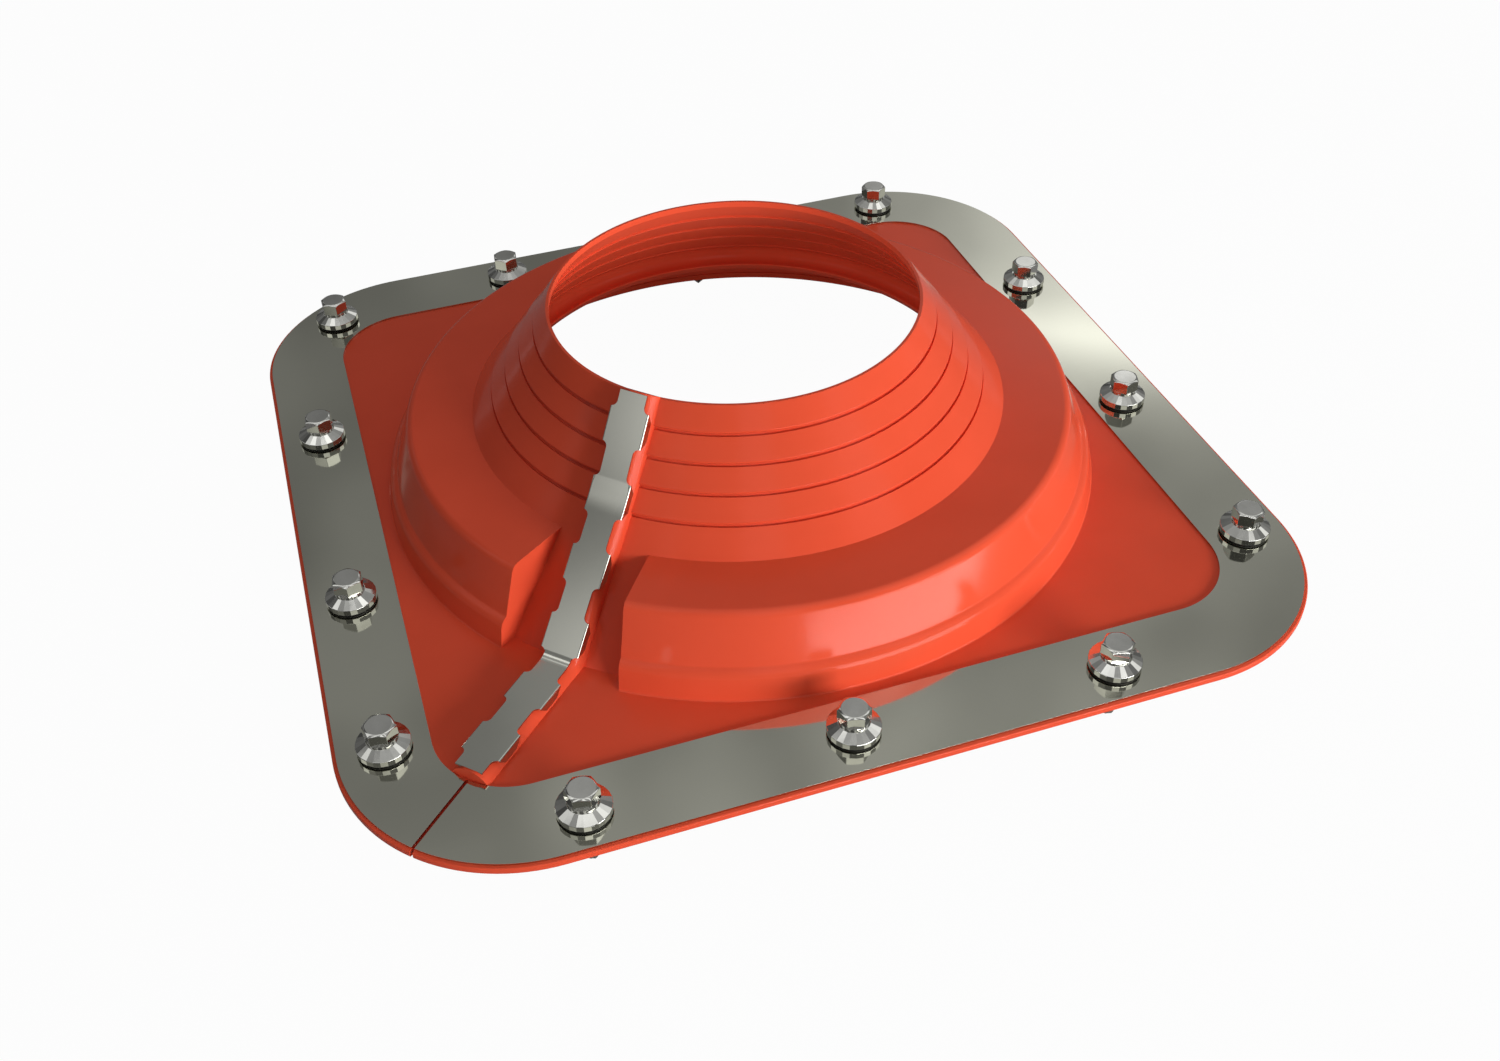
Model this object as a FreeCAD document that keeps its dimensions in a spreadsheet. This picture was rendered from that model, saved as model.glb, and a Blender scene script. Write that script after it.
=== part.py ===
import FreeCAD, Part
import math
import os
import Sketcher
from FreeCAD import Placement, Rotation, Vector

# Pipe flashing boot for a roof sheet, in millimetres.
# The origin is the centre of the flange's underside, on the roof plane, with +Z up the pipe.
# The seam runs down the cone and out to one corner of the square, along -X -Y.
# The boot and its clip are drawn with the seam along their own +X and then turned to that corner.

# Each row is a name, its value and what it sets.
SIZES = (
    ("frame_corner", 53.0, "outer corner radius of the metal frame"),
    ("frame_width", 26.3, "width of the metal band on each side"),
    ("window_gap", 4.15, "ring's foot to the frame's window"),
    ("frame_window_corner", 24.0, "corner radius of the frame's window"),
    ("frame_thickness", 0.7, "sheet thickness of the frame"),
    ("slit_width", 1.0, "gap where the frame and flange are split at the seam corner"),
    ("flange_thickness", 2.2, "rubber under the frame"),
    ("flange_lip", 1.2, "rubber that shows past the frame's edge"),
    ("base_lip", 6.45, "ring's foot to the edge of the opening in the underside"),
    ("rim_radius", 60.2, "outside of the collar's mouth"),
    ("rim_wall", 0.9, "rubber at the mouth"),
    ("rim_land", 2.0, "straight part inside the mouth"),
    ("first_band_run", 4.65, "outward run of the band below the mouth"),
    ("first_band_drop", 6.67, "drop of the band below the mouth"),
    ("band_run", 5.37, "outward run from one trim line to the next"),
    ("band_drop", 7.0, "drop from one trim line to the next"),
    ("band_count", 4, "trim lines round the cone"),
    ("trim_step", 0.7, "depth of the step under each trim line"),
    ("trim_lip", 0.5, "upright face above each step"),
    ("cone_wall", 1.35, "inner steps sit this far in and this far down from the outer ones"),
    ("foot_run", 7.34, "outward run from the last trim line to the cone's foot"),
    ("foot_drop", 8.13, "drop from the last trim line to the cone's foot"),
    ("foot_wall", 1.56, "rubber at the cone's foot, along the flat top"),
    ("crown_height", 27.9, "flat top of the ring and foot of the cone"),
    ("crown_width", 21.45, "flat top from the cone's foot to the ring's edge before it is rounded"),
    ("apron_angle", 45.0, "slope down to the flange in the seam's channel, in degrees"),
    ("moulding_wall", 2.6, "rubber of the ring, the flat top and the apron"),
    ("ledge_width", 11.5, "cone's foot to the edge of the ledge inside it"),
    ("ledge_undercut", 1.5, "lean of the ledge's edge"),
    ("inner_foot_round", 3.0, "rounding where the cone meets the ledge inside"),
    ("shoulder_round", 3.4, "rounding of the ring's top edge"),
    ("skirt_run", 5.85, "outward run of the ring's wall from its top edge to the crease"),
    ("crease_height", 12.0, "crease above the roof plane"),
    ("crease_round", 1.2, "rounding in the crease"),
    ("bead_run", 2.3, "bead stands out from the crease by this"),
    ("bead_drop", 1.15, "bead's edge is below the crease by this"),
    ("bead_round", 2.0, "rounding of the bead's edge"),
    ("bead_draft", 1.65, "bead's foot stands out from its edge by this"),
    ("base_recess", 0.5, "step out behind the edge of the base opening"),
    ("hollow_round", 1.3, "rounding of the hollow under the ring's top edge"),
    ("ring_gap", 19.6, "channel for the seam in degrees of the ring"),
    ("end_wall", 1.6, "end walls of the ring in degrees"),
    ("end_round", 1.2, "rounding round the ring's two ends"),
    ("rib_half_width", 6.2, "half the seam rib's width"),
    ("rib_flat", 1.3, "half the flat along the rib's crest"),
    ("rib_shoulder", 4.0, "crest to where the rib's sides turn upright"),
    ("rib_arch", 6.5, "radius of the rib's rounded shoulders"),
    ("rib_depth", 5.9, "crest to the rib's root inside the rubber"),
    ("rib_rise_cone", 4.25, "crest above the mouth's edge, square to the cone"),
    ("rib_rise_apron", 5.65, "crest above the apron, square to it"),
    ("rib_rise_flange", 3.75, "crest above the flange"),
    ("rib_overrun", 0.7, "rib runs past the mouth's edge by this"),
    ("rib_end_lean", 0.45, "lean of the rib's lower end"),
    ("rib_end_gap", 0.1, "rib's lower end to the frame's window"),
    ("upper_bend", 85.5, "bend of the rib's crest between cone and apron"),
    ("lower_bend", 5.5, "bend of the rib's crest between apron and flange"),
    ("clip_thickness", 0.5, "sheet thickness of the clip"),
    ("clip_overrun", 0.5, "rib that shows above the clip's upper end"),
    ("clip_end_gap", 1.4, "clip's lower end to the middle of the frame's window corner"),
    ("clip_half_width", 6.4, "half the clip's width over its tabs"),
    ("clip_waist", 4.45, "half the clip's width between tabs"),
    ("clip_edge_round", 0.45, "outside of the fold at each tab"),
    ("tab_length", 10.45, "tab along the clip"),
    ("tab_pitch", 21.1, "one tab to the next along the clip"),
    ("tab_count", 6, "pairs of tabs"),
    ("tab_drop", 3.0, "tab's depth from the clip's top"),
    ("first_tab", 5.3, "clip's upper end to the first tab"),
    ("notch_round", 1.9, "rounding beside each tab"),
    ("notch_depth", 8.0, "cut for the notches beside the tabs, through the sheet"),
    ("shank_radius", 2.75, "screw's shank"),
    ("screw_length", 25.0, "screw from under its head to its tip"),
    ("point_length", 6.5, "drill point of the screw"),
    ("point_radius", 2.2, "drill point's radius"),
    ("point_cone", 1.3, "length of the drill point's tip"),
    ("neck_radius", 4.2, "collar between washer and hexagon"),
    ("neck_height", 0.94, "height of that collar"),
    ("hex_flats", 8.6, "hexagon across its flats"),
    ("hex_height", 4.45, "height of the hexagon"),
    ("hex_top_radius", 3.75, "flat disc on the hexagon"),
    ("hex_chamfer", 27.0, "slope of the hexagon's chamfer in degrees"),
    ("washer_radius", 7.85, "dished steel washer"),
    ("washer_edge", 1.87, "upright edge of the washer"),
    ("washer_height", 3.5, "washer from its edge's foot to its top"),
    ("washer_top_radius", 4.7, "flat top of the washer's cone"),
    ("washer_wall", 1.0, "sheet thickness of the washer"),
    ("seal_radius", 7.4, "rubber seal under the washer's edge"),
    ("seal_thickness", 0.86, "seal below the washer's edge"),
    ("hole_clearance", 0.2, "screw's shank to the edge of each hole"),
    ("past", 3.0, "cutting shapes reach this far past what they cut"),
)

# Screws, each by the frame's side that it is on, its share of half that side from the
# middle, its distance in from the frame's outer edge and the turn of its head in degrees.
SCREWS = (
    ("front", -0.592, 12.2, 16.0),
    ("front", -0.072, 14.3, 15.0),
    ("front", 0.464, 12.2, 13.0),
    ("right", -0.661, 13.1, 51.0),
    ("right", -0.150, 14.5, 43.0),
    ("right", 0.396, 12.7, 0.0),
    ("back", 0.699, 12.9, 6.0),
    ("back", 0.173, 13.0, 15.0),
    ("back", -0.356, 13.0, 52.0),
    ("back", -0.816, 21.9, 4.0),
    ("left", 0.359, 13.5, 53.0),
    ("left", -0.223, 12.6, 52.0),
    ("left", -0.649, 13.5, 16.0),
)

SEAM_TURN = -135.0


class Size:
    """A length or angle, as a number and as the sheet formula that it follows."""

    def __init__(self, number, formula):
        self.number = number
        self.formula = formula

    def join(self, sign, other, number):
        return Size(number, f"({self.formula} {sign} {as_size(other).formula})")

    def __add__(self, other):
        return self.join("+", other, self.number + as_size(other).number)

    def __sub__(self, other):
        return self.join("-", other, self.number - as_size(other).number)

    def __mul__(self, other):
        return self.join("*", other, self.number * as_size(other).number)

    def __truediv__(self, other):
        return self.join("/", other, self.number / as_size(other).number)

    def __neg__(self):
        return self * -1

    def __radd__(self, other):
        return as_size(other) + self

    def __rsub__(self, other):
        return as_size(other) - self

    def __rmul__(self, other):
        return as_size(other) * self


def as_size(thing):
    return thing if isinstance(thing, Size) else Size(float(thing), f"({float(thing)})")


def sin(angle):
    return Size(math.sin(math.radians(angle.number)), f"sin({angle.formula})")


def cos(angle):
    return Size(math.cos(math.radians(angle.number)), f"cos({angle.formula})")


def tan(angle):
    return Size(math.tan(math.radians(angle.number)), f"tan({angle.formula})")


def slope_of(drop, run):
    """The angle in degrees of a slope, as a plain number."""
    steep = (drop / run).formula
    return Size(math.degrees(math.atan2(drop.number, run.number)), f"(atan({steep}) / 1 deg)")


def root(area):
    return Size(math.sqrt(area.number), f"sqrt({area.formula})")


doc = FreeCAD.newDocument("pipe_flashing_boot")
sheet = doc.addObject("Spreadsheet::Sheet", "Sizes")
for row, (name, value, meaning) in enumerate(SIZES, start=1):
    sheet.set(f"A{row}", meaning)
    sheet.set(f"B{row}", str(value))
    sheet.setAlias(f"B{row}", name)
doc.recompute()

size = {name: Size(float(value), f"Sizes.{name}") for name, value, meaning in SIZES}


# Sketches and features

def new_body(label, turn=0.0):
    body = doc.addObject("PartDesign::Body", label)
    body.Label = label
    body.Placement = Placement(Vector(0, 0, 0), Rotation(Vector(0, 0, 1), turn))
    return body


def sketch_on(body, plane, name, offset=Placement()):
    """A sketch on one of the body's own planes, moved by the offset in that plane's axes."""
    sketch = body.newObject("Sketcher::SketchObject", name)
    datum = next(item for item in body.Origin.OriginFeatures if item.Role == plane)
    sketch.AttachmentSupport = (datum, "")
    sketch.MapMode = "FlatFace"
    sketch.AttachmentOffset = offset
    return sketch


def fix(sketch, geometry, point, x, y):
    """Sets a point of the sketch from its origin, by the sheet where the value comes from there."""
    for kind, value in (("DistanceX", x), ("DistanceY", y)):
        place = Sketcher.Constraint(kind, -1, 1, geometry, point, as_size(value).number)
        follow(sketch, sketch.addConstraint(place), value)


def follow(sketch, constraint, value):
    if isinstance(value, Size):
        sketch.setExpression(f"Constraints[{constraint}]", value.formula)


def outline(sketch, corners, closed=True):
    """Straight edges through the corners. A corner's third value is the radius of its rounding."""
    places = [Vector(as_size(c[0]).number, as_size(c[1]).number, 0) for c in corners]
    count = len(corners)
    starts, ends, arcs = list(places), list(places), {}
    for i, corner in enumerate(corners):
        if len(corner) < 3:
            continue
        radius = as_size(corner[2]).number
        back = (places[i - 1] - places[i]).normalize()
        ahead = (places[(i + 1) % count] - places[i]).normalize()
        half = back.getAngle(ahead) / 2
        middle = places[i] + (back + ahead).normalize() * (radius / math.sin(half))
        starts[i] = places[i] + back * (radius / math.tan(half))
        ends[i] = places[i] + ahead * (radius / math.tan(half))
        left = back.cross(ahead).z < 0
        first, last = (starts[i], ends[i]) if left else (ends[i], starts[i])
        turns = [math.atan2((p - middle).y, (p - middle).x) for p in (first, last)]
        if turns[1] < turns[0]:
            turns[1] += 2 * math.pi
        circle = Part.Circle(middle, Vector(0, 0, 1), radius)
        arc = sketch.addGeometry(Part.ArcOfCircle(circle, turns[0], turns[1]))
        arcs[i] = (arc, 1 if left else 2, 2 if left else 1)
    lines = {}
    for i in range(count if closed else count - 1):
        after = (i + 1) % count
        lines[i] = sketch.addGeometry(Part.LineSegment(ends[i], starts[after]))
    for i, corner in enumerate(corners):
        before = lines.get((i - 1) % count)
        after = lines.get(i)
        if i in arcs:
            arc, entry, leave = arcs[i]
            sketch.addConstraint(Sketcher.Constraint("Tangent", before, 2, arc, entry))
            sketch.addConstraint(Sketcher.Constraint("Tangent", arc, leave, after, 1))
            bend = Sketcher.Constraint("Radius", arc, as_size(corner[2]).number)
            follow(sketch, sketch.addConstraint(bend), corner[2])
            mark = sketch.addGeometry(Part.Point(places[i]), True)
            fix(sketch, mark, 1, corner[0], corner[1])
            sketch.addConstraint(Sketcher.Constraint("PointOnObject", mark, 1, before))
            sketch.addConstraint(Sketcher.Constraint("PointOnObject", mark, 1, after))
        elif after is None:
            fix(sketch, before, 2, corner[0], corner[1])
        else:
            fix(sketch, after, 1, corner[0], corner[1])
            if before is not None:
                sketch.addConstraint(Sketcher.Constraint("Coincident", before, 2, after, 1))


def circle(sketch, x, y, radius):
    centre = Vector(as_size(x).number, as_size(y).number, 0)
    ring = sketch.addGeometry(Part.Circle(centre, Vector(0, 0, 1), as_size(radius).number))
    fix(sketch, ring, 3, x, y)
    width = Sketcher.Constraint("Radius", ring, as_size(radius).number)
    follow(sketch, sketch.addConstraint(width), radius)


def rounded_square(sketch, half, radius):
    corners = [(half, -half, radius), (half, half, radius), (-half, half, radius), (-half, -half, radius)]
    outline(sketch, corners)


def revolve(body, sketch, name, cut=False, angle=None):
    """Turns a section round the upright axis, to equal angles on both sides of its sketch."""
    feature = body.newObject("PartDesign::Groove" if cut else "PartDesign::Revolution", name)
    feature.Profile = sketch
    feature.ReferenceAxis = (sketch, ["V_Axis"])
    feature.Midplane = True
    if angle:
        feature.setExpression("Angle", angle.formula)
    settle(body, feature, cut)
    return feature


def extrude(body, sketch, name, length, cut=False, both_ways=False, reverse=False):
    """Pads or pockets a sketch by a length, to one side or half of it to each side."""
    feature = body.newObject("PartDesign::Pocket" if cut else "PartDesign::Pad", name)
    feature.Profile = sketch
    if both_ways:
        feature.SideType = "Symmetric"
    feature.Reversed = reverse
    feature.setExpression("Length", as_size(length).formula)
    settle(body, feature, cut)
    return feature


def sweep(body, section, path, name):
    feature = body.newObject("PartDesign::AdditivePipe", name)
    feature.Profile = section
    doc.recompute()
    feature.Spine = (path, [f"Edge{n}" for n in range(1, len(path.Shape.Edges) + 1)])
    settle(body, feature, False)
    return feature


def settle(body, feature, cut):
    """Works the feature out, and stops if it took nothing away or added nothing."""
    base = feature.BaseFeature
    before = base.Shape.Volume if base else 0.0
    doc.recompute()
    change = feature.Shape.Volume - before
    if (change > -1e-6) if cut else (change < 1e-6):
        raise RuntimeError(f"{body.Label}: {feature.Name} changed the volume by {change:.4f}")


def round_edges(body, base, name, radius, wanted):
    """Rounds the edges of the base feature that the test picks."""
    picked = [f"Edge{n}" for n, edge in enumerate(base.Shape.Edges, start=1) if wanted(edge)]
    feature = body.newObject("PartDesign::Fillet", name)
    feature.Base = (base, picked)
    feature.setExpression("Radius", radius.formula)
    doc.recompute()
    return feature


# Heights and radii that follow from the driving sizes, from the mouth outwards

past = size["past"]
lean = slope_of(size["band_drop"], size["band_run"])
fall = size["apron_angle"]
flange_top = size["flange_thickness"]
metal_top = flange_top + size["frame_thickness"]
crown = size["crown_height"]
more_bands = size["band_count"] - 1
last_edge_radius = size["rim_radius"] + size["first_band_run"] + size["band_run"] * more_bands
foot_radius = last_edge_radius + size["foot_run"]
rim_height = crown + size["foot_drop"] + size["band_drop"] * more_bands + size["first_band_drop"]
ledge_radius = foot_radius - size["ledge_width"]
shoulder_radius = foot_radius + size["crown_width"]
crease_radius = shoulder_radius + size["skirt_run"]
bead_radius = crease_radius + size["bead_run"]
ring_foot = bead_radius + size["bead_draft"]
base_hole_radius = ring_foot - size["base_lip"]
half_window = ring_foot + size["window_gap"]
half_frame = half_window + size["frame_width"]

# The seam rib's crest, which the clip lies on

crest_start_x = (
    size["rim_radius"] + size["rib_rise_cone"] * sin(lean) - size["rib_overrun"] * cos(lean)
)
crest_start_z = (
    rim_height + size["rib_rise_cone"] * cos(lean) + size["rib_overrun"] * sin(lean)
)
apron_crest_x = foot_radius + size["rib_rise_apron"] * sin(fall)
apron_crest_z = crown + size["rib_rise_apron"] * cos(fall)
flange_crest_z = flange_top + size["rib_rise_flange"]

upper_corner_x = (
    crest_start_z - apron_crest_z + crest_start_x * tan(lean) - apron_crest_x * tan(fall)
) / (tan(lean) - tan(fall))
upper_corner_z = crest_start_z - (upper_corner_x - crest_start_x) * tan(lean)
lower_corner_x = apron_crest_x + (apron_crest_z - flange_crest_z) / tan(fall)

# The frame's window corner on the seam's line, and where the rib's sides meet it
window_corner = size["frame_window_corner"]
window_middle = (half_window - window_corner) * math.sqrt(2)
window_on_seam = window_middle + window_corner
window_at_sides = window_middle + root(
    window_corner * window_corner - size["rib_half_width"] * size["rib_half_width"]
)
rib_end = window_at_sides - size["rib_end_gap"]
corner_of_flange = half_frame * math.sqrt(2)


def crest_path(body, name, start_x, start_z, end_x):
    """The rib's crest from the mouth down the cone and the apron and out along the flange."""
    path = sketch_on(body, "XZ_Plane", name)
    outline(
        path,
        [
            (start_x, start_z),
            (upper_corner_x, upper_corner_z, size["upper_bend"]),
            (lower_corner_x, flange_crest_z, size["lower_bend"]),
            (end_x, flange_crest_z),
        ],
        closed=False,
    )
    return path


def across_crest(body, name, x, z):
    """A sketch square to the crest's upper run, with its own upright along the crest's normal."""
    sketch = sketch_on(body, "YZ_Plane", name, Placement(Vector(0, 0, 0), Rotation(Vector(1, 0, 0), 1)))
    sketch.setExpression("AttachmentOffset.Base.y", z.formula)
    sketch.setExpression("AttachmentOffset.Base.z", x.formula)
    sketch.setExpression("AttachmentOffset.Rotation.Angle", lean.formula)
    return sketch


# Screw places in the frame's own axes

def screw_place(side, share, inset):
    along = half_frame * share
    edge = half_frame - inset
    return {
        "front": (along, -edge),
        "right": (edge, along),
        "back": (along, edge),
        "left": (-edge, along),
    }[side]


screw_holes = [screw_place(side, share, inset) for side, share, inset, turn in SCREWS]
hole_radius = size["shank_radius"] + size["hole_clearance"]


def plan_sketch(body, name, turned):
    """A plan sketch along the frame's sides, in a body that may be turned to the seam."""
    turn = Rotation(Vector(0, 0, 1), -SEAM_TURN if turned else 0)
    return sketch_on(body, "XY_Plane", name, Placement(Vector(0, 0, 0), turn))


# The boot: cone, flat-topped ring, flange and seam rib in one moulding

def band_edges():
    """Outer radius and height of each trim line, from the mouth down."""
    first_x = size["rim_radius"] + size["first_band_run"]
    first_z = rim_height - size["first_band_drop"]
    count = int(size["band_count"].number)
    return [(first_x + size["band_run"] * n, first_z - size["band_drop"] * n) for n in range(count)]


def make_boot():
    body = new_body("boot", SEAM_TURN)
    apron_foot = foot_radius + (crown - flange_top) / tan(fall)

    section = sketch_on(body, "XZ_Plane", "cone_section")
    steps = []
    for x, z in reversed(band_edges()):
        steps += [(x - size["trim_step"], z), (x, z), (x, z + size["trim_lip"])]
    outline(
        section,
        [(0, 0), (apron_foot, 0), (apron_foot, flange_top), (foot_radius, crown)]
        + steps
        + [(size["rim_radius"], rim_height), (0, rim_height)],
    )
    revolve(body, section, "cone")

    plan = plan_sketch(body, "flange_plan", True)
    lip = size["flange_lip"]
    rounded_square(plan, half_frame + lip, size["frame_corner"] + lip)
    extrude(body, plan, "flange", flange_top)

    ring_angle = 360 - size["ring_gap"]
    bead_z = size["crease_height"] - size["bead_drop"]
    under_flange_top = flange_top / 2
    inside_cone = foot_radius - size["moulding_wall"] * 2
    section = sketch_on(body, "XZ_Plane", "ring_section")
    outline(
        section,
        [
            (-inside_cone, under_flange_top),
            (-inside_cone, crown),
            (-shoulder_radius, crown, size["shoulder_round"]),
            (-crease_radius, size["crease_height"], size["crease_round"]),
            (-bead_radius, bead_z, size["bead_round"]),
            (-ring_foot, flange_top),
            (-ring_foot, under_flange_top),
        ],
    )
    ring = revolve(body, section, "ring", angle=ring_angle)

    half_gap = math.radians(size["ring_gap"].number / 2)

    def round_the_end(edge):
        on_end = all(
            abs(abs(math.atan2(v.Y, v.X)) - half_gap) < 1e-4 for v in edge.Vertexes
        )
        above = edge.BoundBox.ZMax > flange_top.number + 0.01
        middle = edge.valueAt((edge.FirstParameter + edge.LastParameter) / 2)
        reach = math.hypot(middle.x, middle.y) + middle.z
        outside = reach > apron_foot.number + flange_top.number + 0.01
        return len(edge.Vertexes) == 2 and on_end and above and outside

    ends = round_edges(body, ring, "ring_ends", size["end_round"], round_the_end)

    rib_path = crest_path(body, "rib_path", crest_start_x, crest_start_z, rib_end)
    section = across_crest(body, "rib_section", crest_start_x, crest_start_z)
    draw_rib_section(section)
    sweep(body, section, rib_path, "rib")

    wedge = sketch_on(body, "XZ_Plane", "rib_end_wedge")
    outline(
        wedge,
        [
            (rib_end, flange_top),
            (rib_end + past, flange_top),
            (rib_end + past, flange_crest_z + past),
            (rib_end - size["rib_end_lean"], flange_crest_z + past),
        ],
    )
    extrude(body, wedge, "rib_end", (size["rib_half_width"] + past) * 2, cut=True, both_ways=True)

    section = sketch_on(body, "XZ_Plane", "inside_section")
    outline(section, inside_corners(apron_foot))
    revolve(body, section, "inside", cut=True)

    wall = size["moulding_wall"]
    ceiling = crown - wall
    in_void = ledge_radius + wall * 2
    skirt_lean = size["skirt_run"] / (crown - size["crease_height"])
    skirt_in = shoulder_radius - wall + wall * skirt_lean / 2
    hollow_foot = ring_foot - wall * 2
    section = sketch_on(body, "XZ_Plane", "hollow_section")
    outline(
        section,
        [
            (-in_void, -past),
            (-in_void, ceiling),
            (-skirt_in, ceiling, size["hollow_round"]),
            (-hollow_foot, bead_z - wall),
            (-(base_hole_radius + size["base_recess"]), flange_top),
            (-base_hole_radius, flange_top),
            (-base_hole_radius, -past),
        ],
    )
    revolve(body, section, "hollow", cut=True, angle=ring_angle - size["end_wall"] * 2)

    slit = sketch_on(body, "XY_Plane", "flange_slit_plan")
    half_slit = size["slit_width"] / 2
    slit_start = rib_end + size["rib_end_lean"]
    outline(
        slit,
        [
            (slit_start, -half_slit),
            (corner_of_flange, -half_slit),
            (corner_of_flange, half_slit),
            (slit_start, half_slit),
        ],
    )
    through = (flange_top + past) * 2
    extrude(body, slit, "flange_slit", through, cut=True, both_ways=True)

    holes = plan_sketch(body, "flange_hole_plan", True)
    for x, y in screw_holes:
        circle(holes, x, y, hole_radius)
    extrude(body, holes, "flange_holes", through, cut=True, both_ways=True)
    return body


def inside_corners(apron_foot):
    """The way through the boot, from above the mouth down past the roof plane."""
    wall = size["moulding_wall"]
    ceiling = crown - wall
    bore = size["rim_radius"] - size["rim_wall"]
    above = rim_height + size["rib_rise_cone"] + past
    corners = [(0, above), (bore, above), (bore, rim_height - size["rim_land"])]
    for x, z in band_edges():
        inner_x = x - size["cone_wall"]
        inner_z = z - size["cone_wall"]
        corners += [(inner_x, inner_z), (inner_x - size["trim_step"], inner_z)]
    apron_in = foot_radius - wall * tan(fall / 2)
    apron_in_foot = apron_in + ceiling / tan(fall)
    corners += [
        (foot_radius - size["foot_wall"], crown, size["inner_foot_round"]),
        (ledge_radius, crown),
        (ledge_radius + size["ledge_undercut"], ceiling),
        (apron_in, ceiling),
        (apron_in_foot, 0),
        (apron_in_foot, -past),
        (0, -past),
    ]
    return corners


def draw_rib_section(sketch):
    """Flat crest, rounded shoulders and upright sides that root in the rubber."""
    wide = size["rib_half_width"]
    flat = size["rib_flat"]
    shoulder = -size["rib_shoulder"]
    root_depth = -size["rib_depth"]
    points = [(-wide, root_depth), (wide, root_depth), (wide, shoulder), (flat, 0), (-flat, 0), (-wide, shoulder)]
    places = [Vector(as_size(x).number, as_size(y).number, 0) for x, y in points]
    edges = []
    for i, (x, y) in enumerate(points):
        start, end = places[i], places[(i + 1) % len(places)]
        if i in (2, 4):
            chord = end - start
            inward = Vector(-chord.y, chord.x, 0).normalize()
            radius = size["rib_arch"].number
            sag = radius - math.sqrt(radius**2 - (chord.Length / 2) ** 2)
            middle = (start + end) / 2 - inward * sag
            edge = sketch.addGeometry(Part.Arc(start, middle, end))
            bend = sketch.addConstraint(Sketcher.Constraint("Radius", edge, radius))
            follow(sketch, bend, size["rib_arch"])
        else:
            edge = sketch.addGeometry(Part.LineSegment(start, end))
        edges.append(edge)
    for i, (x, y) in enumerate(points):
        sketch.addConstraint(Sketcher.Constraint("Coincident", edges[i - 1], 2, edges[i], 1))
        fix(sketch, edges[i], 1, x, y)


# The frame: one piece of sheet with a window, split at the seam's corner

def make_frame():
    body = new_body("frame_ring")
    plan = sketch_on(body, "XY_Plane", "frame_plan")
    plan.setExpression("AttachmentOffset.Base.z", flange_top.formula)
    rounded_square(plan, half_frame, size["frame_corner"])
    rounded_square(plan, half_window, window_corner)
    for x, y in screw_holes:
        circle(plan, x, y, hole_radius)
    extrude(body, plan, "frame_sheet", size["frame_thickness"])

    turn = Placement(Vector(0, 0, 0), Rotation(Vector(0, 0, 1), SEAM_TURN))
    slit = sketch_on(body, "XY_Plane", "frame_slit_plan", turn)
    half_slit = size["slit_width"] / 2
    outline(
        slit,
        [
            (window_middle, -half_slit),
            (corner_of_flange, -half_slit),
            (corner_of_flange, half_slit),
            (window_middle, half_slit),
        ],
    )
    extrude(body, slit, "frame_slit", (metal_top + past) * 2, cut=True, both_ways=True)
    return body


# The clip: a bent strip with tabs folded down over the rib

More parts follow.
